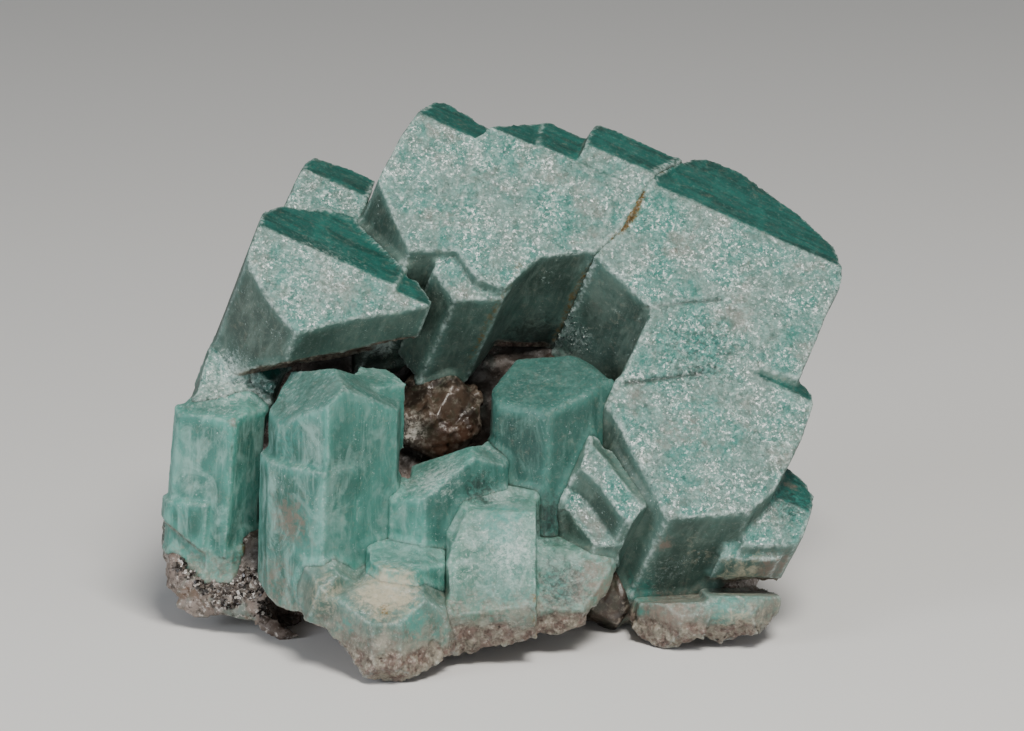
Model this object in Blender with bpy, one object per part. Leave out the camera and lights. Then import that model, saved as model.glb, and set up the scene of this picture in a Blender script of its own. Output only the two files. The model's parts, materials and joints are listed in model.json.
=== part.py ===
"""Rough microcline: a hand-sized cluster of amazonite crystals on broken feldspar with smoky quartz.

All sizes below are millimetres. +Z is up and the show side faces -Y. The specimen stands on z = 0 on a few
broken lumps. Every crystal is a straight prism: an outline on one flat face, swept down the crystal's long
axis and cut by its other flat faces. Crystals of one growth overlap and are joined in one solid; neighbours
keep a hairline gap.
"""

import math
import random
from dataclasses import dataclass, field

import bmesh
import bpy
from mathutils import Vector

OBJECT_NAME = "rough_microcline"
METRES_PER_MM = 0.001

# Driving dimensions of the whole specimen
GAP = 0.3
BACK_PLANE_Y = 46.0
BACK_PLANE_LEAN = 0.04
GROUND_Z = 0.0

# Crystal lattice shared by the upper crystals
LONG_AXIS = Vector((0.315, -0.427, 0.847)).normalized()
B_AXIS = Vector((0.914, -0.105, -0.393)).normalized()
TERRACE_TILT = math.radians(26.0)
DOME_TILT = math.radians(16.0)
LATTICE_ORIGIN = Vector((24.7, -13.4, 21.7))

# The lower columns stand almost upright and lean a little to the left
COLUMN_LEAN = Vector((0.088, 0.0, 1.0))
UPRIGHT = Vector((0.03, 0.0, 1.0))

# Hidden undersides run back at this slope, measured from level
UNDERSIDE_SLOPE = math.radians(15.0)

# Flat breaks of the lumps: depth and its spread as parts of a lump's half size, and the sideways wobble
CHIP_DEPTH = 0.72
CHIP_SPREAD = 0.14
CHIP_WOBBLE = 0.35
GOLDEN_ANGLE = math.pi * (3.0 - math.sqrt(5.0))

# Tolerances of the mesh tools, in metres
CUT_TOLERANCE = 1e-8
MERGE_DISTANCE = 2e-6
THIN_DISTANCE = 1e-6

# Finish of each kind of mineral: colour, roughness
FINISHES = {
    "frosted amazonite": ((0.30, 0.52, 0.48), 0.45),
    "pale amazonite": ((0.33, 0.50, 0.45), 0.5),
    "rough feldspar": ((0.48, 0.36, 0.31), 0.85),
    "smoky quartz": ((0.10, 0.06, 0.045), 0.25),
}


@dataclass(frozen=True)
class Face:
    """A flat face that cuts a block; everything on the normal's side is taken away."""

    point: Vector
    normal: Vector


@dataclass
class Block:
    """A straight prism: an outline in a plane, swept along one direction, then cut by flat faces."""

    origin: Vector
    across: Vector
    along: Vector
    outline: list
    sweep: Vector
    length: float
    faces: list = field(default_factory=list)


@dataclass
class Lump:
    """A broken, angular lump: a rounded ball chipped by flat breaks and cut flat where it must be."""

    centre: Vector
    radii: Vector
    seed: int
    breaks: int = 12
    faces: list = field(default_factory=list)


def unit(x, y, z):
    """Return a unit vector."""
    return Vector((x, y, z)).normalized()


# Directions that follow from the lattice
B_DIRECTION = (B_AXIS - LONG_AXIS * B_AXIS.dot(LONG_AXIS)).normalized()
FRONT_DIRECTION = LONG_AXIS.cross(B_DIRECTION).normalized()
if FRONT_DIRECTION.y > 0.0:
    FRONT_DIRECTION.negate()
TERRACE_NORMAL = LONG_AXIS * math.cos(TERRACE_TILT) + FRONT_DIRECTION * math.sin(TERRACE_TILT)
TERRACE_UP = -FRONT_DIRECTION * math.cos(TERRACE_TILT) + LONG_AXIS * math.sin(TERRACE_TILT)
DOME_NORMAL = LONG_AXIS * math.cos(DOME_TILT) - FRONT_DIRECTION * math.sin(DOME_TILT)

# Faces shared by several pieces
GROUND = Face(Vector((0.0, 0.0, GROUND_Z)), Vector((0.0, 0.0, -1.0)))
BACK = Face(Vector((0.0, BACK_PLANE_Y, 40.0)), unit(0.05, 1.0, BACK_PLANE_LEAN))


def terrace_block(outline, rise, dome_at, length, tilt=0.0, pivot=0.0, faces=()):
    """Return a crystal block whose top is a terrace and whose back slopes off as a dome.

    The outline is given along the b axis and up the terrace, from the lattice origin. `rise` lifts the
    terrace along its normal, `dome_at` is where the dome begins and `tilt` is a small lean of the terrace
    about a line at `pivot` along the b axis.
    """
    across = B_DIRECTION
    origin = LATTICE_ORIGIN + TERRACE_NORMAL * rise
    if tilt:
        lean = math.radians(tilt)
        across = B_DIRECTION * math.cos(lean) + TERRACE_NORMAL * math.sin(lean)
        origin = origin + B_DIRECTION * pivot - across * pivot
    dome = Face(origin + TERRACE_UP * dome_at, DOME_NORMAL)
    return Block(origin, across, TERRACE_UP, outline, -LONG_AXIS, length, [dome, *faces])


def column_block(section, low, high, lean=COLUMN_LEAN, level=30.0, faces=()):
    """Return a standing block: a section at height `level`, swept along `lean` from `low` to `high`."""
    shift = lean * (high - level)
    origin = Vector((shift.x, shift.y, high))
    sweep = -lean.normalized()
    return Block(origin, Vector((1, 0, 0)), Vector((0, 1, 0)), section, sweep, (high - low) * lean.length,
                 list(faces))


def slab_block(outline, front, back, faces=()):
    """Return a block with a front-view outline (x, z), swept from y = front to y = back."""
    origin = Vector((0, front, 0))
    return Block(origin, Vector((1, 0, 0)), Vector((0, 0, 1)), outline, Vector((0, 1, 0)), back - front,
                 list(faces))


def edge_on_face(point, slope_degrees):
    """Return an underside through `point` that runs back and up, tilted in the front view by the slope."""
    slope = math.radians(slope_degrees)
    down = Vector((0.0, -math.sin(UNDERSIDE_SLOPE), -math.cos(UNDERSIDE_SLOPE)))
    side = Vector((1.0, 0.0, 0.0))
    return Face(point, down * math.cos(slope) + side * math.sin(slope))


def grown_outline(outline, grow):
    """Return the outline with every edge moved outward by `grow`."""
    if not grow:
        return [Vector(point) for point in outline]
    points = [Vector(point) for point in outline]
    area = sum(a.x * b.y - b.x * a.y for a, b in zip(points, points[1:] + points[:1]))
    side = 1.0 if area > 0.0 else -1.0
    grown = []
    for index, point in enumerate(points):
        before = (point - points[index - 1]).normalized()
        after = (points[(index + 1) % len(points)] - point).normalized()
        normal_before = Vector((before.y, -before.x)) * side
        normal_after = Vector((after.y, -after.x)) * side
        middle = normal_before + normal_after
        reach = 2.0 * grow / max(middle.length_squared, 0.5)
        grown.append(point + middle * reach)
    return grown


def cut_flat(shape, face, grow):
    """Cut a bmesh by a flat face, moved outward by `grow`, and close the cut."""
    normal = face.normal.normalized()
    point = (face.point + normal * grow) * METRES_PER_MM
    geometry = shape.verts[:] + shape.edges[:] + shape.faces[:]
    cut = bmesh.ops.bisect_plane(shape, geom=geometry, dist=CUT_TOLERANCE, plane_co=point, plane_no=normal,
                                 clear_outer=True)
    rim = [item for item in cut["geom_cut"] if isinstance(item, bmesh.types.BMEdge) and item.is_boundary]
    if rim:
        bmesh.ops.holes_fill(shape, edges=rim, sides=0)


def block_mesh(block, grow):
    """Return the bmesh of a block, grown on all sides by `grow`."""
    shape = bmesh.new()
    normal = block.across.cross(block.along).normalized()
    step_out = block.sweep.normalized() / abs(block.sweep.normalized().dot(normal)) * grow
    corners = []
    for point in grown_outline(block.outline, grow):
        place = block.origin + block.across * point.x + block.along * point.y - step_out
        corners.append(shape.verts.new(place * METRES_PER_MM))
    rim = [shape.edges.new((corners[index - 1], corners[index])) for index in range(len(corners))]
    bmesh.ops.contextual_create(shape, geom=rim)
    swept = bmesh.ops.extrude_face_region(shape, geom=shape.faces[:])
    moved = [item for item in swept["geom"] if isinstance(item, bmesh.types.BMVert)]
    travel = block.sweep.normalized() * block.length + step_out * 2.0
    bmesh.ops.translate(shape, verts=moved, vec=travel * METRES_PER_MM)
    bmesh.ops.recalc_face_normals(shape, faces=shape.faces[:])
    for face in block.faces:
        cut_flat(shape, face, grow)
    bmesh.ops.recalc_face_normals(shape, faces=shape.faces[:])
    return shape


def chip_directions(seed, count):
    """Return evenly spread but irregular directions and depths for a lump's breaks."""
    chance = random.Random(seed)
    chips = []
    for index in range(count):
        height = 1.0 - 2.0 * (index + 0.5) / count
        turn = GOLDEN_ANGLE * index + seed + chance.uniform(-CHIP_WOBBLE, CHIP_WOBBLE)
        ring = math.sqrt(max(0.0, 1.0 - height * height))
        direction = unit(ring * math.cos(turn), ring * math.sin(turn), height)
        depth = CHIP_DEPTH + chance.uniform(-CHIP_SPREAD, CHIP_SPREAD)
        chips.append((direction, depth))
    return chips


def lump_mesh(lump, grow):
    """Return the bmesh of a chipped lump, grown on all sides by `grow`."""
    shape = bmesh.new()
    bmesh.ops.create_icosphere(shape, subdivisions=2, radius=1.0)
    for vert in shape.verts:
        ball = Vector(vert.co)
        reach = Vector((ball.x * (lump.radii.x + grow), ball.y * (lump.radii.y + grow),
                        ball.z * (lump.radii.z + grow)))
        vert.co = (lump.centre + reach) * METRES_PER_MM
    for direction, depth in chip_directions(lump.seed, lump.breaks):
        support = Vector((direction.x * lump.radii.x, direction.y * lump.radii.y, direction.z * lump.radii.z))
        point = lump.centre + direction * support.length * depth
        cut_flat(shape, Face(point, direction), grow)
    for face in lump.faces:
        cut_flat(shape, face, grow)
    bmesh.ops.recalc_face_normals(shape, faces=shape.faces[:])
    return shape


def shape_mesh(shape, grow=0.0):
    """Return the bmesh of a block or a lump."""
    if isinstance(shape, Lump):
        return lump_mesh(shape, grow)
    return block_mesh(shape, grow)


# Upper crystals, which share the lattice

def right_crystal():
    """Return the large right crystal: three stepped terraces and the small crystal grown on its right."""
    upper = terrace_block(
        [(-27.3, 37.6), (-15.8, 33.0), (-6.1, 40.3), (1.0, 45.0), (11.2, 48.5), (11.2, 51.9), (8.2, 62.3),
         (0.9, 70.2), (-10.9, 78.0), (-16.4, 77.8), (-19.5, 73.3), (-23.2, 59.0), (-24.6, 50.0),
         (-25.2, 43.4)],
        rise=0.0, dome_at=54.0, length=36.0)
    middle = terrace_block(
        [(-15.8, 18.3), (-4.1, 26.1), (4.0, 31.0), (11.0, 32.4), (11.0, 49.6), (0.0, 49.0), (-15.5, 37.0)],
        rise=0.0, dome_at=52.0, length=36.0, tilt=1.0, pivot=11.0)
    lower = terrace_block(
        [(-16.1, 14.8), (-0.2, 0.4), (7.2, 4.5), (11.8, 7.2), (14.2, 13.0), (15.0, 24.0), (14.6, 29.6),
         (13.7, 33.2), (12.5, 34.7), (9.0, 36.0), (-15.8, 36.0)],
        rise=0.2, dome_at=30.0, length=30.0, tilt=1.9, pivot=11.0)
    side = terrace_block(
        [(12.5, 2.8), (18.4, 5.9), (21.0, 7.3), (21.3, 9.7), (21.2, 13.8), (21.0, 20.5), (18.5, 25.0),
         (15.5, 27.5), (12.0, 27.5)],
        rise=-4.0, dome_at=13.3, length=14.0, faces=[edge_on_face(Vector((38.0, -5.0, 9.0)), 0.0)])
    ledge = terrace_block(
        [(10.0, 0.4), (11.6, 1.0), (19.4, 4.4), (20.2, 8.5), (11.0, 8.5)],
        rise=-6.0, dome_at=30.0, length=12.0, faces=[edge_on_face(Vector((38.0, -5.0, 9.2)), 0.0)])
    return [upper, middle, lower, side, ledge]


def top_crystal():
    """Return the top crystal: its broad terrace, three stepped domes, a ridge and a hanging prong."""
    left = terrace_block(
        [(-64.8, 34.3), (-55.2, 24.9), (-48.9, 28.0), (-47.0, 40.0), (-49.5, 54.0), (-52.0, 56.1),
         (-57.5, 58.2), (-60.3, 58.8), (-61.8, 57.6), (-63.3, 50.1), (-64.2, 44.5)],
        rise=-0.1, dome_at=48.3, length=30.0)
    middle = terrace_block(
        [(-49.5, 27.7), (-48.4, 28.4), (-43.1, 25.1), (-38.5, 25.5), (-36.4, 31.1), (-35.5, 33.1),
         (-31.0, 36.3), (-30.0, 50.0), (-38.0, 62.5), (-44.6, 63.5), (-46.1, 60.7), (-50.9, 53.6),
         (-53.0, 48.5)],
        rise=0.2, dome_at=51.3, length=34.0, faces=[edge_on_face(Vector((0.0, 19.0, 42.2)), -4.0)])
    right = terrace_block(
        [(-36.0, 33.5), (-31.5, 36.0), (-27.8, 38.4), (-28.0, 50.0), (-36.7, 64.2), (-41.4, 64.4),
         (-43.2, 64.7), (-44.5, 62.6), (-43.0, 45.0)],
        rise=0.1, dome_at=51.9, length=33.0, faces=[edge_on_face(Vector((4.0, 19.0, 42.0)), -1.0)])
    ridge = terrace_block(
        [(-27.8, 38.3), (-25.6, 43.4), (-25.0, 50.0), (-23.7, 59.0), (-20.8, 67.8), (-22.9, 68.1),
         (-33.8, 68.3), (-36.2, 67.2), (-36.6, 61.1), (-36.4, 50.0), (-34.0, 42.0)],
        rise=-0.2, dome_at=55.8, length=32.0, faces=[edge_on_face(Vector((8.0, 19.0, 41.6)), 3.0)])
    prong = terrace_block(
        [(-50.7, 24.3), (-45.2, 20.8), (-38.0, 24.7), (-36.4, 31.8), (-38.0, 42.0), (-49.0, 42.0),
         (-50.4, 27.6)],
        rise=-1.5, dome_at=40.0, length=19.5)
    return [left, middle, right, ridge, prong]


def left_crystal():
    """Return the left crystal: a broad sloping terrace, its dome, and the pointed right end."""
    main = terrace_block(
        [(-78.6, 14.0), (-78.0, 10.6), (-71.6, 5.5), (-65.7, 2.6), (-60.5, 7.4), (-54.4, 12.0),
         (-54.4, 28.0), (-58.0, 34.0), (-65.2, 36.5), (-70.7, 35.5), (-74.4, 31.7), (-77.7, 28.9),
         (-79.2, 23.3)],
        rise=2.0, dome_at=17.3, length=30.0, faces=[edge_on_face(Vector((-23.0, 3.0, 45.6)), 11.0)])
    point = terrace_block(
        [(-55.5, 11.2), (-54.0, 12.2), (-48.1, 16.7), (-48.2, 19.2), (-52.0, 25.0), (-55.5, 25.0)],
        rise=1.85, dome_at=16.5, length=24.0, faces=[edge_on_face(Vector((-23.0, 3.0, 45.9)), 10.0)])
    return [main, point]


def back_left_crystal():
    """Return the crystal that looks over the left crystal's shoulder."""
    return [terrace_block(
        [(-77.2, 24.0), (-70.0, 19.0), (-65.3, 22.0), (-65.3, 45.0), (-70.3, 44.7), (-73.7, 43.5),
         (-76.4, 42.6), (-77.2, 37.8)],
        rise=-10.0, dome_at=35.5, length=26.0)]


def small_left_crystal():
    """Return the small crystal in the corner under the left crystal."""
    wide = terrace_block(
        [(-78.1, -1.2), (-76.8, -8.1), (-72.5, -5.8), (-69.9, -1.8), (-66.0, 1.2), (-66.0, 14.0),
         (-78.0, 14.0)],
        rise=-14.0, dome_at=0.4, length=14.0)
    narrow = terrace_block(
        [(-70.2, -2.4), (-68.3, -5.2), (-65.6, -3.6), (-65.6, 10.0), (-70.2, 10.0)],
        rise=-14.6, dome_at=0.2, length=13.0)
    return [wide, narrow]


def stepped_crystal():
    """Return the small crystal with two stair-like terraces against the large right crystal."""
    upper = terrace_block(
        [(-16.4, 3.2), (-15.3, 2.9), (-12.7, 2.0), (-6.0, -2.2), (-4.9, -1.8), (-4.2, 1.3), (-4.2, 10.0),
         (-16.4, 10.0)],
        rise=-2.0, dome_at=30.0, length=17.0,
        faces=[Face(Vector((15.4, -7.0, 29.2)), unit(0.66, -0.2, 0.72))])
    lower = terrace_block(
        [(-16.6, 0.8), (-16.3, -1.6), (-8.8, -6.4), (-4.6, -4.2), (-4.4, 8.0), (-16.6, 8.0)],
        rise=-6.5, dome_at=30.0, length=12.0)
    return [upper, lower]


# Lower crystals, which stand as upright columns

def outer_left_column():
    """Return the column at the left edge, with the wider step low on its left and two small feet."""
    roof = Face(Vector((-44.0, -5.0, 35.9)), unit(-0.08, -0.25, 0.965))
    right_roof = Face(Vector((-42.5, -3.0, 36.2)), unit(0.55, -0.25, 0.80))
    rear_roof = Face(Vector((-47.0, 3.0, 37.4)), unit(-0.12, 0.45, 0.88))
    main = column_block(
        [(-55.0, 1.0), (-54.2, -1.2), (-44.6, -5.2), (-39.9, 2.0), (-40.5, 9.0), (-47.0, 13.0),
         (-54.0, 9.0)],
        low=12.5, high=44.0, faces=[roof, right_roof, rear_roof])
    heel = Face(Vector((-55.6, 0.0, 17.0)), unit(-0.62, -0.15, -0.77))
    step = column_block(
        [(-55.9, 1.4), (-55.0, -1.8), (-48.0, -4.5), (-46.0, 6.0), (-54.0, 8.0)],
        low=12.0, high=21.6, faces=[heel])
    left_foot = column_block([(-51.6, -2.2), (-47.0, -4.0), (-46.0, 4.0), (-51.0, 5.0)], low=7.0, high=14.8)
    right_foot = column_block([(-48.0, -4.2), (-43.4, -4.9), (-40.8, 0.0), (-46.0, 5.0)], low=8.6, high=14.0)
    return [main, step, left_foot, right_foot]


def front_left_column():
    """Return the broad front column, roofed by two sloping faces, with its wider lower half."""
    left_roof = Face(Vector((-36.7, -14.0, 37.7)), unit(-0.594, -0.181, 0.784))
    right_roof = Face(Vector((-25.9, -12.0, 44.3)), unit(0.538, 0.046, 0.842))
    rear_roof = Face(Vector((-29.0, -7.0, 45.2)), unit(0.10, 0.40, 0.91))
    upper = column_block(
        [(-39.1, -6.0), (-37.3, -13.2), (-29.0, -19.8), (-18.2, -10.4), (-17.8, -3.0), (-26.0, 3.0),
         (-36.0, 2.0)],
        low=10.0, high=50.0, lean=UPRIGHT, faces=[left_roof, right_roof, rear_roof])
    toe = Face(Vector((-38.5, -12.0, 8.4)), unit(-0.68, -0.10, -0.72))
    lower = column_block(
        [(-40.4, -8.0), (-38.6, -13.9), (-29.4, -20.4), (-24.0, -15.8), (-26.0, 0.0), (-38.0, 1.0)],
        low=7.4, high=31.6, lean=UPRIGHT, faces=[toe])
    chip = column_block(
        [(-26.0, -4.0), (-21.5, -6.2), (-17.0, -2.0), (-20.0, 3.0), (-25.0, 2.0)],
        low=30.0, high=46.0, lean=UPRIGHT, faces=[Face(Vector((-20.0, -3.0, 41.8)), unit(0.20, -0.1, 0.97))])
    return [upper, lower, chip]


def centre_column():
    """Return the thumb-shaped column in the middle, with its broad tilted top."""
    top = Face(Vector((5.6, -8.0, 38.2)), unit(-0.107, -0.263, 0.959))
    crown = Face(Vector((5.0, 9.5, 42.6)), unit(-0.05, 0.45, 0.89))
    right_roof = Face(Vector((12.4, 8.0, 41.9)), unit(0.44, 0.12, 0.89))
    return [column_block(
        [(-3.9, 1.0), (-3.2, -3.6), (5.6, -8.2), (12.6, -3.6), (16.0, 1.0), (13.5, 9.0), (6.2, 13.0),
         (0.0, 10.0)],
        low=12.0, high=50.0, lean=UPRIGHT, faces=[top, crown, right_roof])]


def low_centre_crystal():
    """Return the low roofed crystal in front of the quartz, with a narrow block on its left."""
    left_roof = Face(Vector((-13.6, -15.0, 26.2)), unit(-0.467, -0.180, 0.866))
    right_roof = Face(Vector((-5.4, -8.0, 31.2)), unit(0.48, -0.12, 0.87))
    rear_roof = Face(Vector((-7.0, -4.6, 31.4)), unit(-0.25, 0.42, 0.87))
    main = column_block(
        [(-16.3, -5.0), (-15.8, -13.6), (-13.6, -15.4), (-0.9, -6.9), (-0.9, -2.0), (-7.0, 3.0),
         (-16.0, 2.0)],
        low=12.0, high=40.0, lean=UPRIGHT, faces=[left_roof, right_roof, rear_roof])
    narrow = column_block(
        [(-19.2, -7.0), (-19.0, -12.6), (-15.0, -14.6), (-14.0, -6.0)],
        low=12.0, high=34.0, lean=UPRIGHT,
        faces=[Face(Vector((-19.0, -12.0, 24.9)), unit(-0.32, -0.2, 0.93))])
    return [main, narrow]


def front_block():
    """Return the front block: one frosted face, a lower right shoulder and a broken underside."""
    frosted = unit(-0.05, -0.80, 0.60)
    crown = Face(Vector((-1.9, -13.6, 23.6)), unit(0.0, -0.12, 0.99))
    left_chamfer = Face(Vector((-8.6, -16.0, 20.4)), unit(-0.80, -0.25, 0.54))
    overhang = Face(Vector((-4.0, -24.0, 10.2)), unit(0.06, -0.96, -0.28))
    left = slab_block(
        [(-10.3, 3.2), (-9.9, 24.5), (4.0, 24.5), (4.0, 4.6), (0.4, 3.4), (-8.6, 1.6)],
        front=-30.0, back=-4.0,
        faces=[Face(Vector((-1.9, -19.0, 16.9)), frosted), crown, left_chamfer, overhang])
    shoulder = slab_block(
        [(3.0, 3.4), (3.0, 17.0), (8.0, 16.4), (15.9, 13.9), (16.3, 11.6), (15.4, 9.0), (12.6, 7.0),
         (11.6, 4.6), (7.6, 3.2)],
        front=-26.0, back=-3.0,
        faces=[Face(Vector((9.0, -14.2, 12.0)), unit(0.10, -0.75, 0.65)),
               Face(Vector((9.0, -17.4, 8.0)), unit(0.10, -0.96, -0.22)),
               Face(Vector((14.0, -14.0, 9.0)), unit(0.78, -0.62, -0.05))])
    return [left, shoulder]


def small_front_crystal():
    """Return the small blocky crystal between the front column and the front block."""
    top = Face(Vector((-17.0, -18.0, 17.2)), unit(0.02, -0.10, 0.99))
    right_top = Face(Vector((-13.4, -18.0, 17.0)), unit(0.42, -0.12, 0.90))
    return [column_block(
        [(-22.4, -14.0), (-22.2, -19.4), (-20.0, -23.0), (-14.6, -24.0), (-10.4, -18.0), (-10.6, -11.0),
         (-20.0, -9.0)],
        low=9.0, high=22.0, lean=UPRIGHT, faces=[top, right_top])]


def lower_front_crystal():
    """Return the lowest front crystal: a broken chunk that carries the specimen, and a rounded knob."""
    chunk = slab_block(
        [(-29.4, 6.8), (-26.0, 4.0), (-23.0, 0.8), (-21.0, 0.0), (-16.6, 0.0), (-12.7, 1.8), (-9.4, 2.8),
         (-9.4, 5.0), (-10.8, 10.6), (-14.0, 13.6), (-22.9, 14.4), (-28.6, 12.6)],
        front=-33.0, back=-8.0,
        faces=[Face(Vector((-20.0, -25.2, 13.6)), unit(-0.05, -0.52, 0.85)),
               Face(Vector((-19.0, -31.6, 5.0)), unit(0.02, -0.98, 0.16)),
               Face(Vector((-26.6, -27.0, 8.0)), unit(-0.66, -0.74, 0.05)),
               Face(Vector((-12.6, -27.4, 7.0)), unit(0.62, -0.77, 0.12)),
               Face(Vector((-19.0, -30.4, 1.0)), unit(0.0, -0.72, -0.69))])
    knob = Lump(Vector((-28.8, -19.5, 11.6)), Vector((5.6, 6.6, 7.4)), seed=4, breaks=14)
    return [chunk, knob]


def right_foot_crystal():
    """Return the two broken chunks under the large right crystal."""
    left = slab_block(
        [(18.9, 2.4), (20.4, 0.6), (22.2, 0.0), (26.5, 0.0), (28.9, 1.6), (30.9, 2.0), (32.0, 9.6),
         (25.8, 9.2), (20.4, 7.4)],
        front=-15.5, back=8.0,
        faces=[Face(Vector((26.0, -12.6, 8.0)), unit(-0.04, 0.25, 0.97)),
               Face(Vector((24.0, -14.9, 6.6)), unit(-0.1, -0.7, 0.7)),
               Face(Vector((21.6, -11.5, 4.0)), unit(-0.62, -0.78, 0.0)),
               Face(Vector((25.0, -14.0, 1.0)), unit(0.0, -0.8, -0.6))])
    right = slab_block(
        [(30.0, 2.0), (33.5, 0.4), (38.6, 2.4), (41.3, 3.5), (42.7, 5.1), (43.2, 7.0), (42.0, 10.4),
         (31.0, 10.2)],
        front=-15.0, back=8.0,
        faces=[Face(Vector((37.0, -12.3, 8.9)), unit(0.03, 0.25, 0.97)),
               Face(Vector((37.0, -14.6, 7.4)), unit(0.12, -0.7, 0.7)),
               Face(Vector((41.4, -11.5, 6.0)), unit(0.75, -0.66, 0.0)),
               Face(Vector((36.0, -14.2, 4.0)), unit(0.0, -0.92, -0.39))])
    return [left, right]


# Smoky quartz

def smoky_quartz_centre():
    """Return the smoky quartz in the middle cavity."""
    return [Lump(Vector((-13.4, 14.0, 30.4)), Vector((8.6, 9.5, 8.4)), seed=2, breaks=16)]


def smoky_quartz_left():
    """Return the smoky quartz that shows under the left columns."""
    return [Lump(Vector((-44.0, 8.0, 6.4)), Vector((10.5, 9.0, 8.6)), seed=5, breaks=14),
            Lump(Vector((-34.0, -3.0, 5.4)), Vector((9.0, 8.0, 5.6)), seed=9, breaks=14)]


def smoky_quartz_right():
    """Return the smoky quartz in the gap left of the right foot."""
    return [Lump(Vector((15.4, -1.5, 5.2)), Vector((5.4, 7.0, 6.8)), seed=7, breaks=14)]


# Broken feldspar that everything grew from

def feldspar_base():
    """Return the broken feldspar: left ledge, core and the stepped broken back."""
    left_ledge = slab_block(
        [(-57.4, 14.6), (-57.2, 11.4), (-55.8, 8.6), (-55.7, 6.8), (-53.6, 4.0), (-51.0, 2.4),
         (-46.0, 3.2), (-41.4, 2.6), (-38.6, 0.6), (-35.6, 0.0), (-32.0, 1.6), (-30.0, 8.0), (-40.0, 15.0),
         (-54.0, 18.0)],
        front=-9.0, back=10.0,
        faces=[Face(Vector((-52.0, -3.4, 6.0)), unit(-0.45, -0.86, -0.22)),
               Face(Vector((-44.0, -5.0, 7.0)), unit(-0.05, -0.92, 0.38)),
               Face(Vector((-56.0, 3.0, 12.0)), unit(-0.96, -0.2, 0.15))])
    core = slab_block(
        [(-47.0, 13.0), (-42.0, 5.0), (-30.0, 1.4), (-8.0, 2.4), (16.0, 1.2), (34.0, 4.0), (42.0, 12.0),
         (43.0, 24.0), (38.0, 36.0), (28.0, 42.0), (4.0, 46.0), (-20.0, 45.0), (-40.0, 38.0),
         (-48.0, 26.0)],
        front=20.0, back=48.0,
        faces=[Face(Vector((0.0, 20.0, 38.5)), unit(0.05, -0.45, 0.89)),
               Face(Vector((-6.0, 42.0, 9.0)), unit(0.12, 0.66, -0.74)),
               Face(Vector((-40.0, 37.0, 20.0)), unit(-0.74, 0.66, -0.12)),
               Face(Vector((37.0, 38.0, 20.0)), unit(0.70, 0.70, -0.16)),
               Face(Vector((-14.0, 44.0, 26.0)), unit(-0.22, 0.96, 0.16)),
               Face(Vector((20.0, 44.0, 24.0)), unit(0.20, 0.96, -0.18))])
    return [
        left_ledge,
        core,
        Lump(Vector((-28.0, 13.0, 12.0)), Vector((25.0, 23.0, 19.0)), seed=11, breaks=16),
        Lump(Vector((8.0, 14.0, 11.0)), Vector((30.0, 25.0, 19.0)), seed=12, breaks=18),
        Lump(Vector((28.0, 15.0, 12.0)), Vector((18.0, 22.0, 18.0)), seed=13, breaks=16),
        Lump(Vector((-25.0, 35.0, 30.0)), Vector((19.0, 15.0, 20.0)), seed=14, breaks=13),
        Lump(Vector((20.0, 38.0, 22.0)), Vector((22.0, 14.0, 19.0)), seed=15, breaks=14),
    ]


# Build order: a piece keeps its own shape and is cut by the pieces listed before it
PIECES = [
    ("right_crystal", right_crystal, "frosted amazonite"),
    ("top_crystal", top_crystal, "frosted amazonite"),
    ("left_crystal", left_crystal, "frosted amazonite"),
    ("back_left_crystal", back_left_crystal, "frosted amazonite"),
    ("lower_front_crystal", lower_front_crystal, "pale amazonite"),
    ("front_left_column", front_left_column, "pale amazonite"),
    ("small_front_crystal", small_front_crystal, "pale amazonite"),
    ("front_block", front_block, "frosted amazonite"),
    ("low_centre_crystal", low_centre_crystal, "pale amazonite"),
    ("stepped_crystal", stepped_crystal, "frosted amazonite"),
    ("centre_column", centre_column, "pale amazonite"),
    ("outer_left_column", outer_left_column, "pale amazonite"),
    ("small_left_crystal", small_left_crystal, "frosted amazonite"),
    ("right_foot_crystal", right_foot_crystal, "pale amazonite"),
    ("smoky_quartz_centre", smoky_quartz_centre, "smoky quartz"),
    ("smoky_quartz_left", smoky_quartz_left, "smoky quartz"),
    ("smoky_quartz_right", smoky_quartz_right, "smoky quartz"),
    ("feldspar_base", feldspar_base, "rough feldspar"),
]


def clear_scene():
    """Remove the objects that the scene starts with."""
    for thing in list(bpy.data.objects):
        bpy.data.objects.remove(thing, do_unlink=True)


def new_collection(name, parent):
    """Return a new collection linked under `parent`."""
    collection = bpy.data.collections.new(name)
    parent.children.link(collection)
    return collection


def mesh_object(name, shape, collection):
    """Turn a bmesh into an object in the given collection."""
    mesh = bpy.data.meshes.new(name)
    shape.to_mesh(mesh)
    shape.free()
    thing = bpy.data.objects.new(name, mesh)
    collection.objects.link(thing)
    return thing


def apply_boolean(thing, tool, operation):
    """Join or cut `thing` with `tool` and keep the result as its mesh."""
    modifier = thing.modifiers.new(operation.lower(), "BOOLEAN")
    modifier.operation = operation
    modifier.solver = "EXACT"
    modifier.object = tool
    graph = bpy.context.evaluated_depsgraph_get()
    result = bpy.data.meshes.new_from_object(thing.evaluated_get(graph))
    thing.modifiers.remove(modifier)
    old = thing.data
    thing.data = result
    bpy.data.meshes.remove(old)


def corners_of(places):
    """Return the lowest and highest corner of the box around some points."""
    low = Vector([min(place[axis] for place in places) for axis in range(3)])
    high = Vector([max(place[axis] for place in places) for axis in range(3)])
    return low, high


def bounds(thing):
    """Return the lowest and highest corner of an object's mesh."""
    return corners_of([vert.co for vert in thing.data.vertices])


def boxes_meet(first, second):
    """Tell whether two (low, high) boxes overlap."""
    return all(first[0][axis] <= second[1][axis] and second[0][axis] <= first[1][axis] for axis in range(3))


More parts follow.
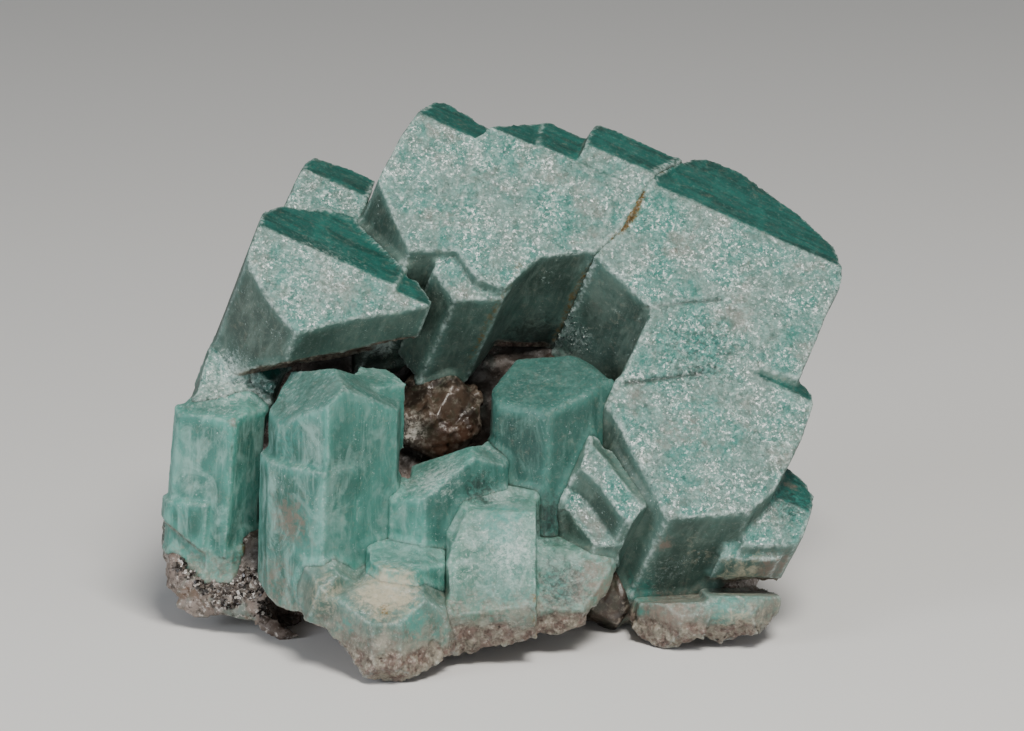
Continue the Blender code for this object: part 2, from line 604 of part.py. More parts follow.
def keep_largest_body(shape):
    """Remove every loose body of a bmesh but the largest one."""
    unseen = set(shape.verts)
    bodies = []
    while unseen:
        start = unseen.pop()
        body = {start}
        front = [start]
        while front:
            vert = front.pop()
            for edge in vert.link_edges:
                other = edge.other_vert(vert)
                if other in unseen:
                    unseen.remove(other)
                    body.add(other)
                    front.append(other)
        bodies.append(body)
    if len(bodies) < 2:
        return
    spans = []
    for body in bodies:
        low, high = corners_of([vert.co for vert in body])
        spans.append((high - low).length)
    largest = bodies[spans.index(max(spans))]
    loose = [vert for vert in shape.verts if vert not in largest]
    bmesh.ops.delete(shape, geom=loose, context="VERTS")


def tidy_mesh(thing):
    """Merge doubled points, flatten coplanar faces and drop loose slivers."""
    shape = bmesh.new()
    shape.from_mesh(thing.data)
    bmesh.ops.remove_doubles(shape, verts=shape.verts[:], dist=MERGE_DISTANCE)
    bmesh.ops.dissolve_degenerate(shape, edges=shape.edges[:], dist=THIN_DISTANCE)
    keep_largest_body(shape)
    bmesh.ops.triangulate(shape, faces=shape.faces[:])
    bmesh.ops.recalc_face_normals(shape, faces=shape.faces[:])
    shape.to_mesh(thing.data)
    shape.free()


def trim_flat(thing, faces):
    """Cut an object's mesh by flat faces."""
    shape = bmesh.new()
    shape.from_mesh(thing.data)
    for face in faces:
        cut_flat(shape, face, 0.0)
    shape.to_mesh(thing.data)
    shape.free()


def mineral_material(name, finish):
    """Return the Principled material of one piece."""
    colour, roughness = FINISHES[finish]
    material = bpy.data.materials.new(name)
    material.use_nodes = True
    shader = material.node_tree.nodes["Principled BSDF"]
    shader.inputs["Base Color"].default_value = (*colour, 1.0)
    shader.inputs["Roughness"].default_value = roughness
    shader.inputs["Metallic"].default_value = 0.0
    return material


def build_pieces(parts, cutters):
    """Build every piece in order, cut by the grown shapes of the pieces before it."""
    grown = []
    built = []
    for name, recipe, finish in PIECES:
        shapes = recipe()
        thing = mesh_object(name, shape_mesh(shapes[0]), parts)
        for shape in shapes[1:]:
            extra = mesh_object(name + "_join", shape_mesh(shape), cutters)
            apply_boolean(thing, extra, "UNION")
            bpy.data.objects.remove(extra, do_unlink=True)
        trim_flat(thing, [GROUND, BACK])
        for cutter in grown:
            if boxes_meet(bounds(thing), bounds(cutter)):
                apply_boolean(thing, cutter, "DIFFERENCE")
        tidy_mesh(thing)
        thing.data.materials.clear()
        thing.data.materials.append(mineral_material(name, finish))
        built.append(thing)
        for index, shape in enumerate(shapes):
            cutter = mesh_object("%s_cutter_%d" % (name, index), shape_mesh(shape, GAP), cutters)
            cutter.hide_render = True
            cutter.display_type = "WIRE"
            grown.append(cutter)
    for cutter in grown:
        bpy.data.objects.remove(cutter, do_unlink=True)
    return built


def centre_on_ground(pieces):
    """Move the specimen so that the middle of its footprint box is at the origin, on z = 0."""
    low, high = corners_of([corner for piece in pieces for corner in bounds(piece)])
    shift = Vector((-(low.x + high.x) / 2.0, -(low.y + high.y) / 2.0, -low.z))
    for piece in pieces:
        for vert in piece.data.vertices:
            vert.co = vert.co + shift
    return shift


def main():
    """Build the specimen."""
    clear_scene()
    root = bpy.context.scene.collection
    parts = new_collection(OBJECT_NAME, root)
    cutters = new_collection("cutters", root)
    pieces = build_pieces(parts, cutters)
    shift = centre_on_ground(pieces)
    print("specimen moved by", [round(value / METRES_PER_MM, 3) for value in shift])
    for piece in pieces:
        low, high = bounds(piece)
        print(piece.name, len(piece.data.polygons), "triangles",
              [round(value / METRES_PER_MM, 1) for value in (*low, *high)])


main()
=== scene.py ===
"""Looks of the rough microcline: a cluster of amazonite crystals on broken feldspar with smoky quartz.

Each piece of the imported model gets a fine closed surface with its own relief: frosted terraces, striated
domes, smooth side faces and broken bottoms. Values kept on the points say where each finish goes, and the
materials read them. Sizes are millimetres unless a name says otherwise.
"""

import json
import logging
import math
import random
from dataclasses import dataclass, field
from enum import Enum

import bmesh
import bpy
import numpy as np
from mathutils import Matrix, Vector, noise
from mathutils.bvhtree import BVHTree

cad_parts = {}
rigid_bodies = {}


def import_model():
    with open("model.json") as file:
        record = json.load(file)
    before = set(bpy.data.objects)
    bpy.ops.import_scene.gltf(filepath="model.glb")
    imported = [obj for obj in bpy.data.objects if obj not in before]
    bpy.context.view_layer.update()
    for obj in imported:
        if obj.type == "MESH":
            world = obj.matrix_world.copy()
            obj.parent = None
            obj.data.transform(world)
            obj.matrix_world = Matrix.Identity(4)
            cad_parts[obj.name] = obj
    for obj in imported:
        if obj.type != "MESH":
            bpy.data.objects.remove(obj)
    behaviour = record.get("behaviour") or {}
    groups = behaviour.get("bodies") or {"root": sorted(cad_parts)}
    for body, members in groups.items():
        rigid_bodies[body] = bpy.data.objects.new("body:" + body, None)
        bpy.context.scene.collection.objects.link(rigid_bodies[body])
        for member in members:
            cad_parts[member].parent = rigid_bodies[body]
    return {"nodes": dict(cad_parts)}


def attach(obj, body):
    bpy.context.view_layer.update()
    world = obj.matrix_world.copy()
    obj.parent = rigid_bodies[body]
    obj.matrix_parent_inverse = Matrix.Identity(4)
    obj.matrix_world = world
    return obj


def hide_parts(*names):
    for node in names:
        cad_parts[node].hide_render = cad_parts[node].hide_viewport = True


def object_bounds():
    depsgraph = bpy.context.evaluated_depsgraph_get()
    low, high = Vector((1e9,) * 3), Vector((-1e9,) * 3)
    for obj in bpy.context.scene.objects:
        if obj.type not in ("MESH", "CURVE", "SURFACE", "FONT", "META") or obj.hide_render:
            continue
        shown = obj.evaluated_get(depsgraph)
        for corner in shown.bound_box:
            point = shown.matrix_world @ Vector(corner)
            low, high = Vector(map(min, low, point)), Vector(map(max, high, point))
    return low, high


for thing in list(bpy.data.objects):
    bpy.data.objects.remove(thing, do_unlink=True)

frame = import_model()
CAD_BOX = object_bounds()

LOG = logging.getLogger("rough_microcline")

Place = tuple[float, float, float]
Socket = bpy.types.NodeSocket
Value = Socket | float | tuple[float, ...]

MM = 0.001

# Start of the noise library's own offsets, which would otherwise follow the clock
NOISE_SEED = 3

# Reach over which a surface feels its neighbours, width of the zone beside its edges where light shining
# through is painted, and width of a groove
NEAR_REACH = 1.8
EDGE_ZONE = 2.2
GROOVE_WIDTH = 0.45

# How many times longer than wide the streaks and ridges pressed into a surface are
RELIEF_STRETCH = 9.0

# Height over the break in which a column's foot turns brown, and the least height of that break
FOOT_FADE = 9.0
FOOT_LEAST = 2.0

# Refraction of the minerals
FELDSPAR_IOR = 1.53
QUARTZ_IOR = 1.545

# Crystal lattice shared by the upper crystals
LONG_AXIS = Vector((0.315, -0.427, 0.847)).normalized()
B_AXIS = Vector((0.914, -0.105, -0.393))
B_DIRECTION = (B_AXIS - LONG_AXIS * B_AXIS.dot(LONG_AXIS)).normalized()
FRONT_DIRECTION = -LONG_AXIS.cross(B_DIRECTION).normalized()
if FRONT_DIRECTION.y > 0.0:
    FRONT_DIRECTION.negate()
TERRACE_TILT = math.radians(26.0)
DOME_TILT = math.radians(16.0)
TERRACE_NORMAL = LONG_AXIS * math.cos(TERRACE_TILT) + FRONT_DIRECTION * math.sin(TERRACE_TILT)
DOME_NORMAL = LONG_AXIS * math.cos(DOME_TILT) - FRONT_DIRECTION * math.sin(DOME_TILT)
UPRIGHT = Vector((0.03, 0.0, 1.0)).normalized()

# How closely a facet has to face the terrace's or the dome's direction to belong to it
TERRACE_MATCH = 0.985
DOME_MATCH = 0.975

# How far a facet turns up, down, back or right to count as a top, an underside, a back or a right face
TOP_TURN = 0.5
UNDER_TURN = -0.75
BACK_TURN = 0.985
RIGHT_TURN = 0.3


class Field(Enum):
    """Values kept on the points of a surface, read by the materials."""

    TERRACE = "terrace"
    DOME = "dome"
    CAP = "cap"
    BROKEN = "broken"
    FOOT = "foot"
    RIM = "rim"
    EDGE = "edge"
    # Painted shade on right faces and a painted dark reflection on tops
    PAINTED_SHADE_AND_REFLECTION = "clear"
    # Painted shade along the joints where pieces touch
    PAINTED_SEAM_SHADE = "seam"
    # Dark crack lines, and painted shadow along growth steps
    CRACK_AND_STEP_SHADOW = "crack"
    RUST = "rust"
    BLUSH = "blush"
    CREAM = "cream"
    PALE = "pale"
    DEEP = "deep"
    # Painted shade in hollows, under ledges and on faces that lie in shade
    PAINTED_SHADE_SPOT = "dark"


TINTS = (Field.CRACK_AND_STEP_SHADOW, Field.RUST, Field.BLUSH, Field.CREAM, Field.PALE, Field.DEEP, Field.PAINTED_SHADE_SPOT)


@dataclass(frozen=True)
class Patch:
    """A soft spot of one tint on the surface.

    Attributes:
        tint: The value that it raises.
        centre: Where it is.
        radius: How far it reaches.
        strength: Its value in the middle.
    """

    tint: Field
    centre: Place
    radius: float
    strength: float = 1.0


@dataclass(frozen=True)
class Vein:
    """A soft line of one tint that follows a crack or a joint between crystals.

    Attributes:
        tint: The value that it raises.
        route: Points that the line passes through.
        width: How far it reaches to each side.
        strength: Its value on the line.
        depth: Depth of the groove along it.
    """

    tint: Field
    route: tuple[Place, ...]
    width: float
    strength: float = 1.0
    depth: float = 0.0


PATCHES = (
    # Cavity floor and the hollow under the left crystals, with painted shade in the dark spots
    Patch(Field.PAINTED_SHADE_SPOT, (-15.3, 12.0, 34.8), 8.0),
    Patch(Field.PAINTED_SHADE_SPOT, (-3.8, 13.0, 34.8), 8.0),
    Patch(Field.PAINTED_SHADE_SPOT, (3.0, 17.0, 39.0), 8.0),
    Patch(Field.PAINTED_SHADE_SPOT, (4.0, 15.0, 41.0), 9.0),
    Patch(Field.PAINTED_SHADE_SPOT, (-3.5, 12.0, 27.1), 8.0),
    Patch(Field.PAINTED_SHADE_SPOT, (-15.3, 12.0, 26.0), 8.0),
    Patch(Field.PAINTED_SHADE_SPOT, (-15.8, 0.5, 25.3), 4.0),
    Patch(Field.PAINTED_SHADE_SPOT, (-28.4, 12.7, 39.2), 7.0),
    Patch(Field.PAINTED_SHADE_SPOT, (-22.0, 13.0, 38.0), 7.0),
    Patch(Field.PALE, (11.8, 10.9, 43.1), 4.0, 0.35),
    Patch(Field.PALE, (-20.1, 9.6, 41.9), 3.0, 0.9),
    # Smoky quartz in the cavity
    Patch(Field.PALE, (-15.8, -0.8, 30.6), 3.4),
    Patch(Field.RUST, (-8.5, 0.0, 29.0), 4.5, 0.8),
    # Terraces of the right crystal and of the small one beside it
    Patch(Field.BLUSH, (29.5, 7.7, 57.9), 5.0, 0.2),
    Patch(Field.DEEP, (31.6, -10.7, 33.6), 8.0, 0.55),
    Patch(Field.DEEP, (31.8, -2.0, 44.5), 8.0, 0.6),
    # Painted shade on the right crystal's terraces
    Patch(Field.PAINTED_SHADE_SPOT, (31.8, -2.0, 44.5), 9.0, 0.45),
    Patch(Field.DEEP, (46.1, -10.9, 21.9), 5.0, 0.8),
    # Painted shade on the small crystal's terrace
    Patch(Field.PAINTED_SHADE_SPOT, (46.1, -10.9, 21.9), 5.0, 0.7),
    Patch(Field.BLUSH, (46.2, -5.0, 22.0), 2.0, 0.8),
    # Side faces and foot of the right crystal
    Patch(Field.BLUSH, (25.6, -18.0, 16.6), 2.0, 0.7),
    Patch(Field.CREAM, (31.0, -16.0, 13.5), 5.0, 0.2),
    Patch(Field.PALE, (26.0, -15.0, 10.5), 5.0, 0.2),
    Patch(Field.DEEP, (22.1, -13.5, 7.6), 4.0, 0.6),
    Patch(Field.CREAM, (38.1, -15.2, 10.7), 5.0, 0.6),
    Patch(Field.BLUSH, (43.7, -15.0, 11.4), 4.0, 0.8),
    # Chunks under the right crystal
    Patch(Field.BLUSH, (27.0, -22.0, 4.0), 7.0, 0.8),
    Patch(Field.DEEP, (21.5, -19.0, 5.5), 2.4, 0.7),
    Patch(Field.CREAM, (38.0, -22.0, 3.0), 6.0, 0.6),
    Patch(Field.DEEP, (35.8, -23.0, 7.3), 4.2, 0.7),
    # Left crystal and the small one under it
    Patch(Field.PALE, (-30.0, -7.5, 57.5), 10.0, 0.3),
    Patch(Field.PALE, (-43.9, -4.2, 40.4), 6.0, 0.5),
    # Outer left column and the ledge under it
    Patch(Field.BLUSH, (-43.1, -13.0, 35.8), 1.6, 0.7),
    Patch(Field.DEEP, (-51.9, -10.8, 20.2), 3.0, 0.5),
    Patch(Field.RUST, (-41.4, -10.4, 13.4), 1.8, 0.7),
    Patch(Field.RUST, (-40.1, -9.9, 14.9), 1.6, 0.7),
    # Painted shade under the ledge and below the column
    Patch(Field.PAINTED_SHADE_SPOT, (-39.8, -10.4, 13.0), 3.2, 0.9),
    Patch(Field.PAINTED_SHADE_SPOT, (-35.3, -9.4, 1.2), 4.0, 0.8),
    # Front left column
    Patch(Field.BLUSH, (-33.5, -24.6, 22.4), 5.5, 0.6),
    Patch(Field.BLUSH, (-36.0, -22.0, 13.0), 5.0, 0.5),
    Patch(Field.DEEP, (-34.5, -22.5, 35.0), 5.0, 0.5),
    # Low centre crystal, front block and foot of the centre column
    Patch(Field.PALE, (-11.0, -18.5, 28.0), 5.0, 0.55),
    # Painted shade around the foot of the centre column
    Patch(Field.PAINTED_SHADE_SPOT, (-3.5, -18.0, 25.5), 4.0, 0.6),
    Patch(Field.PAINTED_SHADE_SPOT, (6.8, -16.2, 20.2), 5.5, 0.65),
    Patch(Field.PAINTED_SHADE_SPOT, (9.1, -22.9, 11.4), 6.0, 0.6),
    Patch(Field.PALE, (1.5, -26.0, 18.0), 5.0, 0.5),
    Patch(Field.DEEP, (-0.4, -24.0, 22.0), 5.0, 0.6),
    Patch(Field.DEEP, (1.2, -22.6, 22.9), 4.0, 0.7),
    Patch(Field.DEEP, (8.0, -24.0, 11.5), 4.0, 0.7),
    Patch(Field.BLUSH, (14.5, -20.0, 10.8), 5.5, 0.8),
    # Broken chunk at the bottom front
    Patch(Field.CREAM, (-18.3, -33.5, 13.5), 6.5, 0.9),
    Patch(Field.CREAM, (-28.0, -32.0, 13.0), 4.5, 0.5),
    Patch(Field.RUST, (-18.3, -36.4, 11.6), 1.6, 0.6),
    Patch(Field.DEEP, (-24.6, -35.4, 8.9), 2.4, 0.6),
    Patch(Field.DEEP, (-13.0, -37.0, 9.8), 4.0, 0.7),
    Patch(Field.DEEP, (-9.8, -34.5, 7.1), 3.0, 0.5),
)

# Crack between the top and the right crystal, from the ridge down to the terraces' corner
RIDGE_CRACK = ((26.0, 20.5, 68.6), (24.1, 17.3, 67.9), (22.4, 12.2, 66.0), (21.3, 10.4, 63.9),
               (19.4, 8.4, 61.9))

VEINS = (
    Vein(Field.RUST, RIDGE_CRACK, 0.7, 0.9, 0.3),
    Vein(Field.CRACK_AND_STEP_SHADOW, RIDGE_CRACK, 0.22, 0.7),
    # Its lower part, the seam under the top crystal and the joint beside the front block's shoulder
    Vein(Field.RUST, ((19.4, 8.4, 61.9), (16.1, 7.0, 59.2), (14.8, 6.8, 57.6), (13.4, 7.3, 55.1),
                      (11.8, 9.0, 51.7), (10.2, 11.5, 46.9), (8.7, 13.9, 42.3)), 0.7, 0.5, 0.2),
    Vein(Field.RUST, ((2.8, 1.3, 57.8), (-0.4, -0.9, 52.5), (-4.0, 3.4, 43.9), (-7.0, 5.4, 37.0)), 0.8, 0.4),
    Vein(Field.RUST, ((5.1, -31.0, 12.6), (5.2, -30.6, 8.0), (5.6, -29.0, 5.0)), 0.6, 0.6),
    # Growth steps on the right crystal's terraces: a groove with a painted shadow line along each
    Vein(Field.CRACK_AND_STEP_SHADOW, ((23.3, 1.1, 50.8), (30.3, 2.8, 51.3), (35.5, 4.1, 51.4)), 0.3, 0.75, 0.35),
    Vein(Field.CRACK_AND_STEP_SHADOW, ((19.6, -7.5, 40.6), (25.3, -6.2, 40.9), (32.1, -4.4, 41.5)), 0.4, 0.9, 0.45),
    Vein(Field.CRACK_AND_STEP_SHADOW, ((25.4, -0.4, 48.2), (30.2, -0.2, 47.2)), 0.2, 0.3, 0.2),
)


def as_array(vector: Vector) -> np.ndarray:
    """Return a vector as an array of three numbers."""
    return np.array(tuple(vector), float)


def fractal(points: np.ndarray, size: float, seed: float, octaves: int = 3) -> np.ndarray:
    """Return smooth random values, about -1 to 1, one for each point.

    Args:
        points: Points in millimetres, or in any coordinates of that scale.
        size: Distance over which the value changes.
        seed: Moves the pattern, so that two fields differ.
        octaves: Number of finer layers.

    Returns:
        One value for each point.
    """
    places = points / size + seed * 7.31
    return np.array([noise.fractal(Vector(place), 1.0, 2.0, octaves) for place in places])


def chips(points: np.ndarray, size: float, seed: float) -> np.ndarray:
    """Return values, 0 to 1, of a surface broken into small tilted flats.

    Args:
        points: Points in millimetres.
        size: Width of one flat.
        seed: Moves the pattern.

    Returns:
        One value for each point, constant in slope over each flat.
    """
    depths = np.empty(len(points))
    for index, place in enumerate(points / size + seed * 3.17):
        here = Vector(place)
        centre = noise.voronoi(here)[1][0]
        tilt = noise.noise_vector(centre * 5.3)
        depths[index] = (here - centre).dot(tilt) * 1.4 + noise.noise(centre * 9.1) * 0.8
    return np.clip(0.5 + 0.5 * depths, 0.0, 1.0)


def slowed(points: np.ndarray, axis: Vector, stretch: float) -> np.ndarray:
    """Return points whose place along an axis changes more slowly, for streaks along it."""
    direction = as_array(axis)
    return points - np.outer(points @ direction * (1.0 - 1.0 / stretch), direction)


def soft_step(values: np.ndarray, low: float, high: float) -> np.ndarray:
    """Return values eased from 0 at low to 1 at high."""
    share = np.clip((values - low) / (high - low), 0.0, 1.0)
    return share * share * (3.0 - 2.0 * share)


def distance_to_route(points: np.ndarray, route: tuple[Place, ...]) -> np.ndarray:
    """Return each point's distance to a line through several places.

    Args:
        points: Points in millimetres.
        route: Places that the line passes through.

    Returns:
        One distance for each point.
    """
    best = np.full(len(points), np.inf)
    for start, end in zip(route, route[1:]):
        first = np.array(start)
        along = np.array(end) - first
        share = np.clip((points - first) @ along / (along @ along), 0.0, 1.0)
        gap = np.linalg.norm(points - first - share[:, None] * along, axis=1)
        best = np.minimum(best, gap)
    return best


def points_of(mesh: bpy.types.Mesh) -> np.ndarray:
    """Return a mesh's points in millimetres.

    Args:
        mesh: The mesh.

    Returns:
        One row for each point.
    """
    flat = np.empty(len(mesh.vertices) * 3)
    mesh.vertices.foreach_get("co", flat)
    return flat.reshape(-1, 3) / MM


def placed(name: str, data: bpy.types.ID) -> bpy.types.Object:
    """Add an object to the scene.

    Args:
        name: Its name.
        data: Its mesh, lamp or camera.

    Returns:
        The object.
    """
    thing = bpy.data.objects.new(name, data)
    bpy.context.scene.collection.objects.link(thing)
    return thing


@dataclass
class Surface:
    """The fine closed surface of one piece, with values on its points.

    Attributes:
        node: Name of the CAD node that it follows.
        voxel: Distance between neighbouring points.
        soften: How often its edges are smoothed.
    """

    node: str
    voxel: float
    soften: int = 2
    points: np.ndarray = field(init=False)
    edges: np.ndarray = field(init=False)
    facets: np.ndarray = field(init=False)
    normals: np.ndarray = field(init=False)
    near: np.ndarray = field(init=False)
    values: dict[Field, np.ndarray] = field(init=False, default_factory=dict)
    thing: bpy.types.Object = field(init=False)

    def __post_init__(self) -> None:
        """Make the fine mesh and lay its points on the CAD facets."""
        shape = welded_copy(self.node)
        tree = BVHTree.FromBMesh(shape)
        mesh = bpy.data.meshes.new(self.node + "_stone")
        shape.to_mesh(mesh)
        shape.free()
        self.thing = remeshed(placed(self.node + "_stone", mesh), self.voxel)
        self.read_mesh()
        self.lay_on(tree)
        self.find_near()
        self.find_rims()
        self.smooth(self.soften, 0.5)
        self.normals = unit_rows(self.spread(self.facets, 3))
        self.add_tints()

    def read_mesh(self) -> None:
        """Read the points and edges of the mesh."""
        mesh = self.thing.data
        self.points = points_of(mesh)
        pairs = np.empty(len(mesh.edges) * 2, dtype=np.int64)
        mesh.edges.foreach_get("vertices", pairs)
        self.edges = pairs.reshape(-1, 2)

    def lay_on(self, tree: BVHTree) -> None:
        """Move each point to the nearest CAD facet and keep the facet's normal.

        Args:
            tree: Search tree of the CAD facets.
        """
        self.facets = np.zeros_like(self.points)
        for index, place in enumerate(self.points * MM):
            spot, normal, _, _ = tree.find_nearest(Vector(place))
            self.points[index] = np.array(spot) / MM
            self.facets[index] = normal

    def find_near(self) -> None:
        """Find how close the surface comes to the neighbouring pieces, 1 where they touch."""
        others = tree_of_others(self.node)
        self.near = np.zeros(len(self.points))
        for index, place in enumerate(self.points * MM):
            found = others.find_nearest(Vector(place), NEAR_REACH * MM)
            if found[0] is not None:
                self.near[index] = 1.0 - found[3] / (NEAR_REACH * MM)
        self.near = self.spread(self.near, 1)

    def spread(self, values: np.ndarray, rounds: int) -> np.ndarray:
        """Return values averaged with those of neighbouring points.

        Args:
            values: One value or one row for each point.
            rounds: How often they are averaged.

        Returns:
            The averaged values, in the same form.
        """
        rows = values.reshape(len(self.points), -1).astype(float)
        first, second = self.edges[:, 0], self.edges[:, 1]
        count = np.bincount(self.edges.ravel(), minlength=len(rows))[:, None] + 1.0
        for _ in range(rounds):
            total = rows.copy()
            for column in range(rows.shape[1]):
                total[:, column] += np.bincount(first, rows[second, column], len(rows))
                total[:, column] += np.bincount(second, rows[first, column], len(rows))
            rows = total / count
        return rows.reshape(values.shape)

    def smooth(self, rounds: int, share: float) -> None:
        """Draw each point towards its neighbours."""
        for _ in range(rounds):
            self.points += (self.spread(self.points, 1) - self.points) * share

    def find_rims(self) -> None:
        """Find the outer edges, where facets meet at a corner that stands out, and the zone beside them."""
        mean = unit_rows(self.spread(self.facets, 3))
        bend = np.clip((1.0 - np.linalg.norm(self.spread(self.facets, 2), axis=1)) * 9.0, 0.0, 1.0)
        pull = ((self.spread(self.points, 2) - self.points) * mean).sum(axis=1)
        outward = np.clip(-self.spread(pull, 1) * 30.0 / self.voxel, 0.0, 1.0)
        self.values[Field.RIM] = bend * outward
        wide = self.spread(bend * outward, int(EDGE_ZONE / self.voxel) ** 2 // 2)
        self.values[Field.EDGE] = np.clip(wide * 5.0, 0.0, 1.0)

    def add_tints(self) -> None:
        """Add the soft spots and lines that cross this surface, and the painted shade along the joints to its
        neighbours.
        """
        low, high = self.points.min(axis=0), self.points.max(axis=0)
        # Painted shade along the joints, where a neighbour is close
        self.values[Field.PAINTED_SEAM_SHADE] = soft_step(self.near, 0.55, 0.95)
        for tint in TINTS:
            self.values[tint] = np.zeros(len(self.points))
        for patch in PATCHES:
            centre = np.array(patch.centre)
            if ((centre < low - patch.radius) | (centre > high + patch.radius)).any():
                continue
            gap = np.linalg.norm(self.points - centre, axis=1) / patch.radius
            self.raise_value(patch.tint, patch.strength * (1.0 - soft_step(gap, 0.2, 1.3)))
        for vein in VEINS:
            gap = distance_to_route(self.points, vein.route) / vein.width
            self.raise_value(vein.tint, vein.strength * (1.0 - soft_step(gap, 0.2, 1.5)))

    def raise_value(self, tint: Field, values: np.ndarray) -> None:
        """Raise a tint's value to at least the given values."""
        self.values[tint] = np.maximum(self.values[tint], values)

    def press(self, depth: np.ndarray, swell: float) -> None:
        """Move every point inwards by its depth, and outwards where a neighbour is close.

        Args:
            depth: How far each point goes in.
            swell: How far the surface grows towards a touching neighbour.
        """
        free = 1.0 - soft_step(self.near, 0.0, 0.6)
        grow = swell * soft_step(self.near, 0.1, 0.75)
        for vein in VEINS:
            if vein.depth > 0.0:
                gap = distance_to_route(self.points, vein.route)
                grow = grow - vein.depth * np.exp(-((gap / GROOVE_WIDTH) ** 2))
        move = grow - depth * (0.25 + 0.75 * free)
        self.points += self.normals * move[:, None]
        low = np.array(tuple(CAD_BOX[0])) / MM
        high = np.array(tuple(CAD_BOX[1])) / MM
        self.points = np.clip(self.points, low, high)

    def write(self) -> bpy.types.Object:
        """Write the points and the values into the mesh.

        Returns:
            The finished object.
        """
        mesh = self.thing.data
        mesh.vertices.foreach_set("co", (self.points * MM).ravel())
        for name, values in self.values.items():
            attribute = mesh.attributes.new(name.value, "FLOAT", "POINT")
            attribute.data.foreach_set("value", np.clip(values, 0.0, 1.0).astype(np.float32))
        mesh.polygons.foreach_set("use_smooth", np.ones(len(mesh.polygons), dtype=bool))
        mesh.update()
        return self.thing


def welded_copy(node: str) -> bmesh.types.BMesh:
    """Return a CAD node's mesh with its loose triangles welded.

    Args:
        node: The node's name.

    Returns:
        The welded copy.
    """
    shape = bmesh.new()
    shape.from_mesh(frame["nodes"][node].data)
    bmesh.ops.remove_doubles(shape, verts=shape.verts[:], dist=1e-6)
    return shape


def remeshed(coarse: bpy.types.Object, voxel: float) -> bpy.types.Object:
    """Replace an object's mesh by an even, closed one.

    Args:
        coarse: The object.
        voxel: Width of one mesh cell.

    Returns:
        The same object with its new mesh.
    """
    modifier = coarse.modifiers.new("even cells", "REMESH")
    modifier.mode = "VOXEL"
    modifier.voxel_size = voxel * MM
    modifier.adaptivity = 0.0
    graph = bpy.context.evaluated_depsgraph_get()
    fine = bpy.data.meshes.new_from_object(coarse.evaluated_get(graph))
    coarse.modifiers.clear()
    old = coarse.data
    coarse.data = fine
    bpy.data.meshes.remove(old)
    return coarse


def unit_rows(rows: np.ndarray) -> np.ndarray:
    """Return rows scaled to length one."""
    return rows / np.maximum(np.linalg.norm(rows, axis=1), 1e-9)[:, None]


def tree_of_others(node: str) -> BVHTree:
    """Return a search tree of every CAD node except one.

    Args:
        node: Name of the node that is left out.

    Returns:
        The search tree.
    """
    shape = bmesh.new()
    for name, thing in frame["nodes"].items():
        if name != node:
            shape.from_mesh(thing.data)
    tree = BVHTree.FromBMesh(shape)
    shape.free()
    return tree


def linear(code: str) -> tuple[float, float, float, float]:
    """Return a colour code such as #8ca19d as linear light.

    Args:
        code: The code.

    Returns:
        Red, green, blue and an alpha of one.
    """
    shares = [int(code[start:start + 2], 16) / 255.0 for start in (1, 3, 5)]
    light = [share / 12.92 if share <= 0.04045 else ((share + 0.055) / 1.055) ** 2.4 for share in shares]
    return (*light, 1.0)


